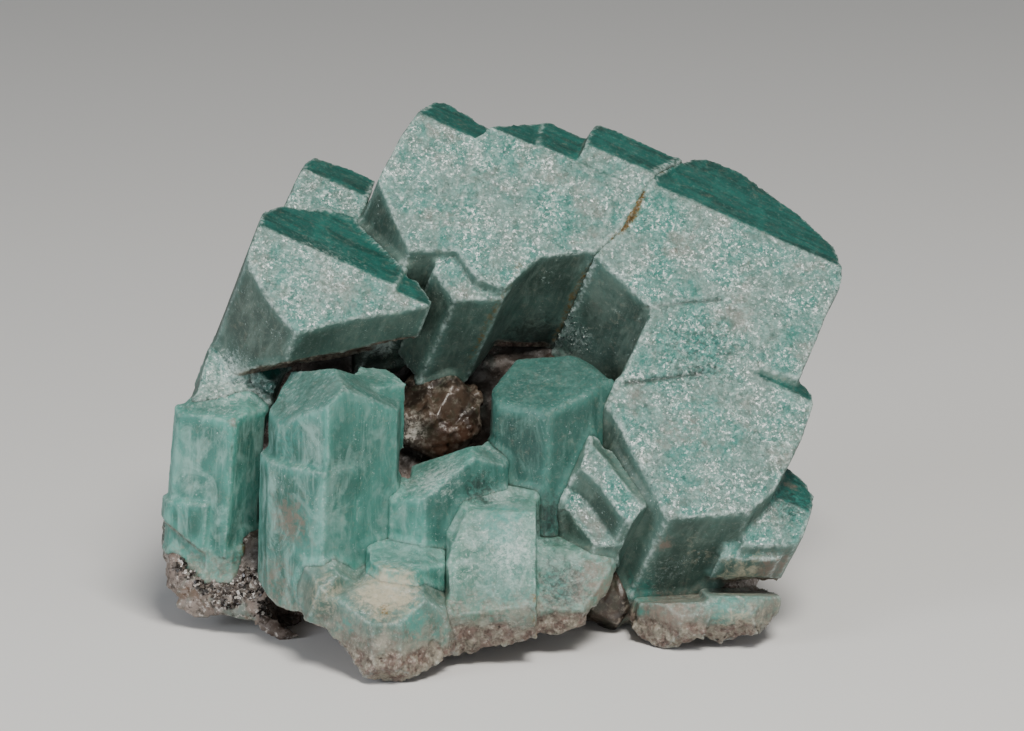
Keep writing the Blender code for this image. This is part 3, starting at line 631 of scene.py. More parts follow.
class Board:
    """A material's nodes, with one short call for each kind of node."""

    def __init__(self, name: str) -> None:
        """Start a material with a Principled shader and coordinates in millimetres.

        Args:
            name: Name of the material.
        """
        self.material = bpy.data.materials.new(name)
        self.material.use_nodes = True
        self.tree = self.material.node_tree
        self.shader = self.tree.nodes["Principled BSDF"]
        place = self.node("TexCoord", {}).outputs["Object"]
        scaled = self.node("VectorMath", {0: place, "Scale": 1.0 / MM}, operation="SCALE")
        self.place = scaled.outputs["Vector"]

    def set(self, socket: Socket, value: Value) -> None:
        """Link a socket to another one, or give it a plain value.

        Args:
            socket: The socket.
            value: Another socket, or a number or colour.
        """
        if isinstance(value, Socket):
            self.tree.links.new(value, socket)
        else:
            socket.default_value = value

    def node(self, kind: str, inputs: dict[str | int, Value], **settings: str | bool) -> bpy.types.Node:
        """Add a node.

        Args:
            kind: Its kind, such as Math.
            inputs: Value or socket for each input, by the input's name or number.
            settings: Its other settings.

        Returns:
            The node.
        """
        node = self.tree.nodes.new("ShaderNode" + kind)
        for name, setting in settings.items():
            setattr(node, name, setting)
        for name, value in inputs.items():
            self.set(node.inputs[name], value)
        return node

    def attribute(self, name: Field) -> Socket:
        """Return the socket of a value kept on the points."""
        return self.node("Attribute", {}, attribute_name=name.value).outputs["Fac"]

    def part(self, name: Field, share: float) -> Socket:
        """Return a share of a value kept on the points."""
        return self.times(self.attribute(name), share)

    def stretched(self, along: Vector, stretch: float) -> Socket:
        """Return coordinates that change slowly along one direction.

        Args:
            along: The direction.
            stretch: How many times slower they change along it.

        Returns:
            The coordinates' socket.
        """
        turn = Vector((1.0, 0.0, 0.0)).rotation_difference(along).inverted().to_euler()
        turned = self.node("Mapping", {"Vector": self.place, "Rotation": turn}).outputs["Vector"]
        return self.node("Mapping", {"Vector": turned, "Scale": (1.0 / stretch, 1.0, 1.0)}).outputs["Vector"]

    def noise(self, size: float, detail: float = 2.0, weight: float = 0.5, twist: float = 0.0,
              place: Socket | None = None) -> Socket:
        """Return the factor of a noise texture.

        Args:
            size: Width of its largest spots.
            detail: Number of finer layers.
            weight: Weight of the finer layers.
            twist: How much it is distorted.
            place: Coordinates, or None for plain ones.

        Returns:
            The factor's socket.
        """
        inputs = {"Vector": place or self.place, "Scale": 1.0 / size, "Detail": detail, "Roughness": weight,
                  "Distortion": twist}
        return self.node("TexNoise", inputs).outputs["Fac"]

    def cells(self, size: float) -> bpy.types.Node:
        """Return a Voronoi texture node with cells of the given width."""
        return self.node("TexVoronoi", {"Vector": self.place, "Scale": 1.0 / size})

    def flakes(self, size: float) -> Socket:
        """Return a height that gives each small cell of the surface a slope of its own.

        Args:
            size: Width of one cell.

        Returns:
            The height's socket, in millimetres.
        """
        cells = self.cells(size).outputs
        step = self.node("VectorMath", {0: self.place, 1: cells["Position"]}, operation="SUBTRACT")
        slope = self.node("VectorMath", {0: cells["Color"], 1: (0.5, 0.5, 0.5)}, operation="SUBTRACT")
        return self.node("VectorMath", {0: step.outputs["Vector"], 1: slope.outputs["Vector"]},
                         operation="DOT_PRODUCT").outputs["Value"]

    def ramp(self, factor: Socket, low: float, high: float, bottom: float = 0.0, top: float = 1.0) -> Socket:
        """Return a factor eased from bottom at low to top at high."""
        inputs = {"Value": factor, "From Min": low, "From Max": high, "To Min": bottom, "To Max": top}
        return self.node("MapRange", inputs, interpolation_type="SMOOTHSTEP", clamp=True).outputs["Result"]

    def times(self, first: Value, second: Value) -> Socket:
        """Return the product of two factors."""
        return self.node("Math", {0: first, 1: second}, operation="MULTIPLY").outputs["Value"]

    def plus(self, first: Value, second: Value) -> Socket:
        """Return the sum of two factors."""
        return self.node("Math", {0: first, 1: second}, operation="ADD").outputs["Value"]

    def mix(self, share: Value, first: Value, second: Value) -> Socket:
        """Return the colour between two colours, by the share of the second one."""
        inputs = {"Factor": share, 6: first, 7: second}
        return self.node("Mix", inputs, data_type="RGBA", clamp_factor=True).outputs[2]

    def over(self, under: Value, code: str, share: Value) -> Socket:
        """Return a colour with a share of another one, given by its code, laid over it."""
        return self.mix(share, under, linear(code))

    def spots(self, under: Value, code: str, size: float, low: float, high: float, most: float = 1.0,
              detail: float = 4.0, weight: float = 0.6, twist: float = 0.0) -> Socket:
        """Return a colour with soft random spots of another one laid over it.

        Args:
            under: The colour below.
            code: Colour code of the spots.
            size: Width of the largest spots.
            low: Noise value at their edge.
            high: Noise value at which they are full.
            most: Their share where they are full.
            detail: Number of finer layers.
            weight: Weight of the finer layers.
            twist: How much they are distorted.

        Returns:
            The colour's socket.
        """
        share = self.ramp(self.noise(size, detail, weight, twist), low, high, 0.0, most)
        return self.over(under, code, share)

    def bump(self, height: Socket, strength: float, depth: float, under: Socket | None = None) -> Socket:
        """Return a normal bent by a height.

        Args:
            height: The height's socket.
            strength: How much the normal bends.
            depth: Real height of one unit.
            under: A normal that it is laid over, or None.

        Returns:
            The normal's socket.
        """
        node = self.node("Bump", {"Height": height, "Strength": strength, "Distance": depth * MM})
        if under is not None:
            self.set(node.inputs["Normal"], under)
        return node.outputs["Normal"]

    def dressed(self, colour: Socket, rough: Socket, normal: Socket) -> bpy.types.Material:
        """Finish the shader.

        Args:
            colour: Its colour.
            rough: Its roughness.
            normal: Its normal.

        Returns:
            The material.
        """
        for name, socket in (("Base Color", colour), ("Roughness", rough), ("Normal", normal)):
            self.set(self.shader.inputs[name], socket)
        return self.material


@dataclass(frozen=True)
class AmazoniteFinish:
    """The finish of a blue-green crystal.

    Attributes:
        name: Name of the material.
        body: Colour of plain faces.
        shade: Darker colour of plain faces.
        pale: Colour of cloudy places.
        edge: Colour beside the edges, where light passes through.
        grain: Direction of the fine streaks on plain faces.
        cap_frost: How thick the frost is on the tops of columns.
        cloud: How much pale cloud the faces carry.
        rim: How pale the outer edges are.
        glow: How much light spreads under the surface.
    """

    name: str
    body: str
    shade: str
    pale: str
    edge: str
    grain: Vector
    cap_frost: float = 0.3
    cloud: float = 0.4
    rim: float = 0.5
    glow: float = 0.0
    # Colour of the painted shade on right faces and of the painted dark reflection on tops
    clear: str = "#28574f"
    dome: str = "#17574f"
    dome_deep: str = "#113d37"
    dome_band: str = "#22695f"
    dome_grey: str = "#36504a"
    dome_dust: str = "#6fa198"
    frost_teal: str = "#3f7a71"
    frost_grey: str = "#657f78"
    frost_pink: str = "#857f78"
    frost_veil: str = "#7fa39b"
    frost_pit: str = "#3a655e"
    fleck: str = "#c3d6d1"
    # Colour of the painted glints
    painted_glint: str = "#eef6f3"
    rust: str = "#674e18"
    blush: str = "#7d675c"
    cream: str = "#b3aa93"
    deep: str = "#35867c"
    # Colour of the painted shade spots
    dark: str = "#1a2421"
    # Colour of the painted shade along joints, of the painted shadow along growth steps and of cracks
    painted_shade_and_crack: str = "#1c1a16"
    stone: str = "#8b8577"
    stone_brown: str = "#6c5b52"
    stone_light: str = "#bfb6aa"
    stone_dark: str = "#43362f"

    def material(self) -> bpy.types.Material:
        """Build the material."""
        board = Board(self.name)
        speckle = board.ramp(board.noise(0.9, 3.0, 0.6), 0.42, 0.58, 0.0, -0.18)
        flaky = board.plus(board.attribute(Field.TERRACE), board.part(Field.BROKEN, 0.6))
        board.shader.inputs["IOR"].default_value = FELDSPAR_IOR
        board.shader.inputs["Specular IOR Level"].default_value = 0.35
        if self.glow > 0.0:
            board.shader.inputs["Subsurface Weight"].default_value = self.glow
            board.shader.inputs["Subsurface Radius"].default_value = (0.6, 1.0, 0.95)
            board.shader.inputs["Subsurface Scale"].default_value = 1.2 * MM
        rough = board.plus(board.times(flaky, speckle), 0.5)
        return board.dressed(self.colour(board), rough, self.relief(board))

    def colour(self, board: Board) -> Socket:
        """Return the colour, layer over layer.

        Args:
            board: The material's nodes.

        Returns:
            The colour's socket.
        """
        clouds = board.noise(6.0, 4.0, 0.6, 0.6)
        domes = board.ramp(board.attribute(Field.DOME), 0.2, 0.8)
        colour = board.mix(domes, self.side(board, clouds), self.dome_colour(board))
        colour = self.frosting(board, colour, clouds)
        colour = board.mix(self.tint(board, Field.FOOT, 1.6, 0.75), colour, self.broken_colour(board, 2.8))
        # Deep, pale, cream and blush are the stone's own tints; the dark tint is painted shade
        tints = ((Field.DEEP, self.deep, 1.5, 0.7), (Field.PALE, self.fleck, 0.7, 0.7),
                 (Field.CREAM, self.cream, 1.2, 0.85), (Field.BLUSH, self.blush, 1.4, 0.7),
                 (Field.PAINTED_SHADE_SPOT, self.dark, 0.9, 0.8))
        for name, code, size, most in tints:
            colour = board.over(colour, code, self.tint(board, name, size, most))
        colour = board.mix(board.attribute(Field.BROKEN), colour, self.broken_colour(board, 2.0))
        worn = board.ramp(board.noise(0.9, 3.0, 0.65), 0.4, 0.66, 0.1 * self.rim, self.rim)
        colour = board.over(colour, self.fleck, board.times(board.attribute(Field.RIM), worn))
        colour = board.over(colour, self.rust, self.tint(board, Field.RUST, 0.7, 1.0))
        # Painted shade along the joints to neighbouring pieces, in mottles
        seam_shade_mottle = board.ramp(board.noise(1.6, 3.0, 0.6), 0.35, 0.65, 0.0, 0.4)
        colour = board.over(colour, self.painted_shade_and_crack, board.times(board.attribute(Field.PAINTED_SEAM_SHADE), seam_shade_mottle))
        # Dark crack lines, and painted shadow along the growth steps
        return board.over(colour, self.painted_shade_and_crack, board.part(Field.CRACK_AND_STEP_SHADOW, 0.8))

    def side(self, board: Board, clouds: Socket) -> Socket:
        """Return the colour of plain faces, streaked along the crystal, greener beside the edges, with
        painted shade on right faces and a painted dark reflection on tops.

        Args:
            board: The material's nodes.
            clouds: Factor of the wide clouds.

        Returns:
            The colour's socket.
        """
        lengthways = board.stretched(self.grain, 7.0)
        streaks = board.noise(1.1, 4.0, 0.62, 0.5, lengthways)
        side = board.spots(linear(self.shade), self.body, 13.0, 0.36, 0.64, 1.0, 3.0, 0.55)
        side = board.over(side, self.pale, board.ramp(streaks, 0.5, 0.72, 0.0, 0.38))
        side = board.over(side, self.shade, board.ramp(streaks, 0.48, 0.3, 0.0, 0.4))
        side = board.over(side, self.pale, board.ramp(clouds, 0.5, 0.7, 0.0, self.cloud))
        wisps = board.noise(3.2, 5.0, 0.68, 1.2, board.stretched(self.grain, 2.2))
        side = board.over(side, self.pale, board.ramp(wisps, 0.47, 0.7, 0.0, 0.55))
        # Painted light shining through the thin edges
        lit = board.ramp(board.noise(5.0, 3.0, 0.6), 0.35, 0.65, 0.15, 0.5)
        side = board.over(side, self.edge, board.times(board.attribute(Field.EDGE), lit))
        # Painted shade on right faces and painted dark reflection on tops, in the clear colour
        clear = board.ramp(board.noise(3.0, 4.0, 0.6, 0.4, lengthways), 0.35, 0.7, 0.95, 0.55)
        side = board.over(side, self.clear, board.times(board.attribute(Field.PAINTED_SHADE_AND_REFLECTION), clear))
        grains = board.times(board.ramp(board.noise(0.45, 3.0, 0.7), 0.6, 0.68),
                             board.ramp(board.noise(4.0, 4.0, 0.65), 0.46, 0.64, 0.0, 0.5))
        return board.over(side, self.fleck, grains)

    def dome_colour(self, board: Board) -> Socket:
        """Return the colour of the smooth tops, streaked along their length, with faint clouds.

        Args:
            board: The material's nodes.

        Returns:
            The colour's socket.
        """
        streaks = board.noise(2.8, 4.0, 0.55, 0.8, board.stretched(B_DIRECTION, 4.0))
        across = board.noise(3.4, 4.0, 0.6, 0.6, board.stretched(FRONT_DIRECTION, 3.0))
        dome = board.over(linear(self.dome_deep), self.dome, board.ramp(streaks, 0.34, 0.68))
        dome = board.over(dome, self.dome_band, board.ramp(across, 0.48, 0.7, 0.0, 0.45))
        dome = board.spots(dome, self.dome_grey, 5.0, 0.52, 0.68, 0.4, twist=0.5)
        return board.spots(dome, self.dome_dust, 0.9, 0.55, 0.7, 0.25, 5.0, 0.72)

    def frosting(self, board: Board, under: Socket, clouds: Socket) -> Socket:
        """Return the colour with frost laid over it on terraces and caps, its white flecks partly painted
        glints, with painted glints over it.

        Args:
            board: The material's nodes.
            under: The colour below.
            clouds: Factor of the wide clouds.

        Returns:
            The colour's socket.
        """
        frost = board.spots(linear(self.frost_teal), self.frost_grey, 7.0, 0.4, 0.6, 1.0, 5.0, 0.65, 0.4)
        frost = board.spots(frost, self.frost_pink, 9.0, 0.52, 0.66, 0.6, 5.0, 0.65)
        frost = board.spots(frost, self.frost_veil, 2.0, 0.42, 0.66, 0.5, 5.0, 0.7, 0.8)
        # White flecks, partly the frost's own pale grains and partly painted glints
        flecks_and_painted_highlights = board.ramp(board.noise(0.8, 5.0, 0.75, 0.5), 0.5, 0.64)
        clusters = board.ramp(board.noise(5.5, 6.0, 0.7, 0.5), 0.41, 0.58, 0.12, 1.0)
        thick = board.times(clusters, board.ramp(clouds, 0.36, 0.62, 0.45, 1.0))
        frost = board.over(frost, self.fleck, board.times(flecks_and_painted_highlights, thick))
        # Painted glints: small painted highlights on the frost
        glints = board.ramp(board.noise(0.55, 3.0, 0.7), 0.57, 0.64)
        frost = board.over(frost, self.painted_glint, board.times(glints, clusters))
        frost = board.spots(frost, self.frost_pit, 1.3, 0.45, 0.32, 0.4, 5.0, 0.72, 0.4)
        cover = board.plus(board.attribute(Field.TERRACE), board.part(Field.CAP, self.cap_frost))
        return board.mix(cover, under, frost)

    def broken_colour(self, board: Board, size: float) -> Socket:
        """Return the mottled colour of broken places.

        Args:
            board: The material's nodes.
            size: Width of the mottles.

        Returns:
            The colour's socket.
        """
        colour = board.spots(linear(self.stone_brown), self.stone, size, 0.4, 0.62, weight=0.65)
        colour = board.spots(colour, self.stone_light, 0.6, 0.52, 0.66, 0.45, weight=0.7)
        return board.spots(colour, self.stone_dark, 1.2, 0.47, 0.34, 0.6, 5.0, 0.7)

    def tint(self, board: Board, name: Field, size: float, most: float) -> Socket:
        """Return how much of a tint shows, with a ragged, faded edge."""
        ragged = board.ramp(board.noise(size, 5.0, 0.7, 0.6), 0.3, 0.7, -0.35, 0.35)
        return board.ramp(board.plus(board.attribute(name), ragged), 0.15, 1.0, 0.0, most)

    def relief(self, board: Board) -> Socket:
        """Return the normal with the finest relief, too small for the mesh.

        Args:
            board: The material's nodes.

        Returns:
            The normal's socket.
        """
        frosted = board.plus(board.attribute(Field.TERRACE), board.part(Field.BROKEN, 0.9))
        thick = board.ramp(board.plus(frosted, board.part(Field.CAP, 0.3)), 0.0, 1.0, 0.12, 1.0)
        normal = board.bump(board.times(board.flakes(0.85), thick), 1.0, 0.9)
        normal = board.bump(board.times(board.flakes(0.4), thick), 1.0, 0.6, normal)
        streaks = board.noise(0.4, 3.0, 0.6, 0.0, board.stretched(self.grain, 8.0))
        return board.bump(streaks, 0.25, 0.06, normal)


@dataclass(frozen=True)
class QuartzFinish:
    """The finish of the smoky quartz: dark, glossy breaks with paler rough places."""

    name: str = "smoky quartz"
    dark: str = "#221b15"
    brown: str = "#473a30"
    green: str = "#35382c"
    rough: str = "#6f6a5e"
    rust: str = "#492b1e"
    white: str = "#c9c4ba"
    worn: str = "#a89e92"

    def material(self) -> bpy.types.Material:
        """Build the material."""
        board = Board(self.name)
        colour = board.spots(linear(self.dark), self.brown, 4.0, 0.4, 0.62, 1.0, 3.0)
        colour = board.spots(colour, self.green, 3.0, 0.5, 0.64, 0.7, 3.0)
        rough = board.ramp(board.noise(1.4, 5.0, 0.78), 0.5, 0.66, 0.0, 0.6)
        colour = board.over(colour, self.rough, rough)
        colour = board.over(colour, self.rust, board.part(Field.RUST, 0.6))
        white = board.ramp(board.noise(0.7, 5.0, 0.75), 0.45, 0.56, 0.1, 0.9)
        colour = board.over(colour, self.white, board.times(board.attribute(Field.PALE), white))
        worn = board.ramp(board.noise(0.9, 3.0, 0.65), 0.5, 0.65, 0.0, 0.45)
        colour = board.over(colour, self.worn, board.times(board.attribute(Field.RIM), worn))
        board.shader.inputs["IOR"].default_value = QUARTZ_IOR
        return board.dressed(colour, board.ramp(rough, 0.0, 0.6, 0.34, 0.6),
                             board.bump(board.noise(0.4, 3.0, 0.6), 0.35, 0.15))


@dataclass(frozen=True)
class DruseFinish:
    """The finish of a crust of tiny crystals: dark and white grains beside each other, all glossy.

    Attributes:
        name: Name of the material.
        dark: Colour of the darkest grains.
        middle: Colour of the grains between.
        light: Colour of the lightest grains.
    """

    name: str
    dark: str
    middle: str
    light: str

    def material(self) -> bpy.types.Material:
        """Build the material."""
        board = Board(self.name)
        grain = board.cells(0.6).outputs["Color"]
        colour = board.over(linear(self.dark), self.middle, board.ramp(grain, 0.3, 0.6))
        colour = board.over(colour, self.light, board.ramp(grain, 0.66, 0.85))
        board.shader.inputs["IOR"].default_value = QUARTZ_IOR
        return board.dressed(colour, board.ramp(board.noise(1.2, 3.0, 0.6), 0.35, 0.65, 0.15, 0.45),
                             board.bump(board.noise(0.3, 2.0, 0.6), 0.2, 0.1))


@dataclass(frozen=True)
class FeldsparFinish:
    """The finish of the broken base: pinkish brown, matt, with pale cleavage flats and brown stains."""

    name: str = "broken feldspar"
    brown: str = "#574a42"
    pink: str = "#7f7067"
    flat: str = "#9a9087"
    green: str = "#4f6d66"
    speck: str = "#2f2721"
    light: str = "#cdc6bf"
    stain: str = "#5f4128"
    dust: str = "#cfc8c4"
    # Colour of the painted shade on the cavity floor
    dark: str = "#14100d"
    # Colour of the painted shade along the joints
    painted_shade_and_crack: str = "#241f1a"

    def material(self) -> bpy.types.Material:
        """Build the material."""
        board = Board(self.name)
        colour = board.spots(linear(self.brown), self.pink, 8.0, 0.4, 0.62)
        flats = board.ramp(board.cells(2.2).outputs["Color"], 0.3, 0.8)
        colour = board.over(colour, self.flat, board.times(flats, 0.5))
        colour = board.spots(colour, self.green, 10.0, 0.55, 0.66, 0.6, twist=0.8)
        specks = board.ramp(board.noise(1.0, 5.0, 0.72), 0.48, 0.36, 0.0, 0.8)
        colour = board.over(colour, self.speck, specks)
        colour = board.spots(colour, self.light, 0.8, 0.53, 0.64, 0.75, 5.0, 0.74)
        colour = board.spots(colour, self.stain, 6.0, 0.58, 0.7, 0.6, twist=1.0)
        # Pale is dust; dark is painted shade on the cavity floor; the seam tint is painted shade along the
        # joints
        tints = ((Field.PALE, self.dust, 0.7), (Field.PAINTED_SHADE_SPOT, self.dark, 0.95), (Field.PAINTED_SEAM_SHADE, self.painted_shade_and_crack, 0.5))
        for name, code, share in tints:
            colour = board.over(colour, code, board.part(name, share))
        return board.dressed(colour, board.ramp(specks, 0.0, 0.6, 0.5, 0.8),
                             board.bump(board.noise(0.8, 4.0, 0.7), 0.5, 0.3))


@dataclass
class Crystal:
    """One crystal of blue-green microcline.

    Attributes:
        node: CAD node that it stands for.
        finish: Its material.
        slot: Material slot of the record; not used.
        voxel: Distance between the points of its surface.
        broken_below: Height under which it is broken instead of grown.
        lattice: Whether it has the upper crystals' terraces and domes.
        soften: How often its edges are smoothed.
        swell: How far it grows towards a neighbour that it touches.
        painted_dark_reflection_top: How much dark reflection is painted on its top.
        painted_shade_right: How much shade is painted on its right faces.
        wave: Width and depth of its slow waves.
        grain: Width of the frost's grains.
        streak: Width and depth of the streaks on its side faces.
        ridge: Width and depth of the ridges on its domes.
        wear: Width and depth of the chips along its edges.
        flats: Width and depth of the large flats where it is broken.
        small_flats: Width and depth of the small flats where it is broken.
        seed: Makes its relief differ from the others'.
    """

    node: str
    finish: bpy.types.Material
    slot: str
    voxel: float = 0.45
    broken_below: float = -1.0
    lattice: bool = True
    soften: int = 2
    swell: float = 0.55
    painted_dark_reflection_top: float = 0.0
    painted_shade_right: float = 0.0
    wave: tuple[float, float] = (7.0, 0.14)
    grain: float = 1.1
    streak: tuple[float, float] = (1.4, 0.06)
    ridge: tuple[float, float] = (1.5, 0.07)
    wear: tuple[float, float] = (1.6, 0.45)
    flats: tuple[float, float] = (3.6, 0.8)
    small_flats: tuple[float, float] = (1.3, 0.5)
    seed: float = 1.0

    def build(self) -> bpy.types.Object:
        """Build the surface, sculpt it and put it in place of its node."""
        surface = Surface(self.node, self.voxel, self.soften)
        self.mark_zones(surface)
        self.sculpt(surface)
        return finished(surface, self.node, self.finish)

    def mark_zones(self, surface: Surface) -> None:
        """Mark terraces, domes, caps, feet and broken parts by the facets' directions.

        Args:
            surface: The crystal's surface.
        """
        facing = surface.facets
        terrace = (facing @ as_array(TERRACE_NORMAL) > TERRACE_MATCH) & self.lattice
        dome = (facing @ as_array(DOME_NORMAL) > DOME_MATCH) & self.lattice & ~terrace
        top = facing[:, 2] > TOP_TURN
        cap = top & (not self.lattice)
        height = surface.points[:, 2]
        ragged = height + 1.2 * fractal(surface.points, 3.0, self.seed + 4.0, 3)
        broken = (facing[:, 2] < UNDER_TURN) | (facing[:, 1] > BACK_TURN) | (ragged < self.broken_below)
        surface.values[Field.TERRACE] = surface.spread((terrace & ~broken).astype(float), 1)
        surface.values[Field.DOME] = surface.spread((dome & ~broken).astype(float), 1)
        surface.values[Field.CAP] = surface.spread((cap & ~broken).astype(float), 4)
        surface.values[Field.BROKEN] = surface.spread(broken.astype(float), 2)
        # Painted dark reflection on tops and painted shade on right faces
        clear = self.painted_dark_reflection_top * top + self.painted_shade_right * (facing[:, 0] > RIGHT_TURN)
        surface.values[Field.PAINTED_SHADE_AND_REFLECTION] = surface.spread(np.minimum(clear, 1.0), 6)
        foot = max(self.broken_below, FOOT_LEAST)
        surface.values[Field.FOOT] = 0.8 * (1.0 - soft_step(height, foot, foot + FOOT_FADE))

    def sculpt(self, surface: Surface) -> None:
        """Press the relief of each zone into the surface.

        Args:
            surface: The crystal's surface.
        """
        points, values = surface.points, surface.values
        axis = LONG_AXIS if self.lattice else UPRIGHT
        depth = 0.10 + self.wave[1] * fractal(points, self.wave[0], self.seed, 2)
        grains = fractal(points, self.grain, self.seed + 1.0, 3)
        depth += values[Field.TERRACE] * (0.08 + 0.12 * grains)
        depth += values[Field.CAP] * (0.05 + 0.05 * grains)
        side = np.clip(1.0 - values[Field.TERRACE] - values[Field.DOME] - values[Field.BROKEN], 0.0, 1.0)
        streaks = fractal(slowed(points, axis, RELIEF_STRETCH), self.streak[0], self.seed + 2.0, 3)
        depth += side * (0.05 + self.streak[1] * streaks)
        ridges = fractal(slowed(points, B_DIRECTION, RELIEF_STRETCH), self.ridge[0], self.seed + 3.0, 3)
        depth += values[Field.DOME] * (0.06 + self.ridge[1] * ridges)
        chipped_edge = np.maximum(fractal(points, self.wear[0], self.seed + 5.0, 3), 0.0)
        depth += values[Field.RIM] * (0.02 + self.wear[1] * chipped_edge)
        broken = self.flats[1] * chips(points, self.flats[0], self.seed)
        broken = broken + self.small_flats[1] * chips(points, self.small_flats[0], self.seed + 1.0)
        depth += values[Field.BROKEN] * (broken - 0.4 + 0.3 * grains)
        surface.press(depth, self.swell)


@dataclass
class BrokenLump:
    """A broken piece of feldspar or quartz, with tilted flats all over.

    Attributes:
        node: CAD node that it stands for.
        finish: Its finish.
        slot: Material slot of the record; not used.
        voxel: Distance between the points of its surface.
        coarse: Width and depth of its large flats.
        fine: Width and depth of its small flats.
        grit: Depth of its finest relief.
        grow: How far the whole surface stands out.
        seed: Makes its relief differ from the others'.
    """

    node: str
    finish: bpy.types.Material
    slot: str
    voxel: float = 0.35
    coarse: tuple[float, float] = (4.0, 0.7)
    fine: tuple[float, float] = (1.5, 0.3)
    grit: float = 0.05
    grow: float = 0.0
    seed: float = 1.0

    def build(self) -> bpy.types.Object:
        """Build the surface, break it and put it in place of its node."""
        surface = Surface(self.node, self.voxel)
        points = surface.points
        depth = self.coarse[1] * (chips(points, self.coarse[0], self.seed) - 0.5)
        depth += self.fine[1] * (chips(points, self.fine[0], self.seed + 1.0) - 0.5)
        depth += self.grit * fractal(points, 1.1, self.seed + 2.0, 3) - self.grow
        grounded = surface.facets[:, 2] < -0.99
        depth[grounded] *= 0.1
        surface.press(depth, 0.6)
        return finished(surface, self.node, self.finish)


@dataclass
class Druse:
    """A crust of tiny crystals that grows on another piece.

    Attributes:
        name: Name of the piece.
        ground: Name of the piece that it grows on.
        finish: Its material.
        slot: Material slot of the record; not used.
        spots: Middle and reach of each patch of the crust.
        count: Number of crystals.
        widths: Smallest and largest half width of a crystal.
        aside: How far a crystal stands from its point of the ground.
        lean: How far it leans over.
        seed: Start of the random choice.
    """

    name: str
    ground: str
    finish: bpy.types.Material
    slot: str
    spots: tuple[tuple[float, float, float, float], ...]
    count: int
    widths: tuple[float, float]
    aside: float = 0.3
    lean: float = 0.8
    seed: int = 1

    def build(self) -> bpy.types.Object:
        """Grow the crystals on the ground and dress them."""
        chance = random.Random(self.seed)
        mesh = bpy.data.objects[self.ground].data
        low, high = (Vector(corner) for corner in CAD_BOX)
        shape = bmesh.new()
        for index in chance.choices(self.places(mesh), k=self.count):
            point = mesh.vertices[index]
            step = Vector(chance.uniform(-self.aside, self.aside) for _ in range(3))
            step -= point.normal * step.dot(point.normal)
            self.grow(shape, point.co + step * MM, point.normal, chance)
        for point in shape.verts:
            point.co = Vector(min(max(point.co[side], low[side]), high[side]) for side in range(3))
        crust = bpy.data.meshes.new(self.name)
        shape.to_mesh(crust)
        shape.free()
        piece = placed(self.name, crust)
        crust.materials.append(self.finish)
        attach(piece, "root")
        LOG.info("%s: %d crystals", self.name, self.count)
        return piece

    def places(self, mesh: bpy.types.Mesh) -> list[int]:
        """Return the ground's points that lie in the patches and look outwards.

        Args:
            mesh: The ground's mesh.

        Returns:
            Numbers of the points.
        """
        points = points_of(mesh)
        inside = np.zeros(len(points), dtype=bool)
        for spot in self.spots:
            inside |= np.linalg.norm(points - np.array(spot[:3]), axis=1) < spot[3]
        return [int(index) for index in np.flatnonzero(inside) if mesh.vertices[index].normal.y < 0.2]

    def grow(self, shape: bmesh.types.BMesh, place: Vector, upwards: Vector, chance: random.Random) -> None:
        """Add one small pointed or blocky crystal.

        Args:
            shape: Mesh that gets it.
            place: Where it stands.
            upwards: Direction that it grows in, before it is tilted.
            chance: Source of its size and turn.
        """
        half = chance.uniform(*self.widths) * MM
        lean = Vector(chance.uniform(-self.lean, self.lean) for _ in range(3))
        turn = (upwards + lean).to_track_quat("Z", "Y").to_matrix().to_4x4()
        turn = Matrix.Translation(place) @ turn @ Matrix.Rotation(chance.uniform(0.0, math.pi), 4, "Z")
        if chance.random() < 0.5:
            bmesh.ops.create_cone(shape, cap_ends=True, segments=6, radius1=half, radius2=half * 0.35,
                                  depth=half * chance.uniform(1.6, 2.6), matrix=turn)
        else:
            blocky = Matrix.Diagonal((1.0, chance.uniform(0.6, 1.4), chance.uniform(0.6, 1.6), 1.0))
            bmesh.ops.create_cube(shape, size=half * 1.6, matrix=turn @ blocky)


def finished(surface: Surface, node: str, material: bpy.types.Material) -> bpy.types.Object:
    """Write a surface, dress it and let it stand for its node.

    Args:
        surface: The sculpted surface.
        node: CAD node that it stands for.
        material: Its material.

    Returns:
        The finished piece.
    """
    piece = surface.write()
    piece.data.materials.clear()
    piece.data.materials.append(material)
    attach(piece, "root")
    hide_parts(node)
    LOG.info("%s: %d points", piece.name, len(piece.data.vertices))
    return piece


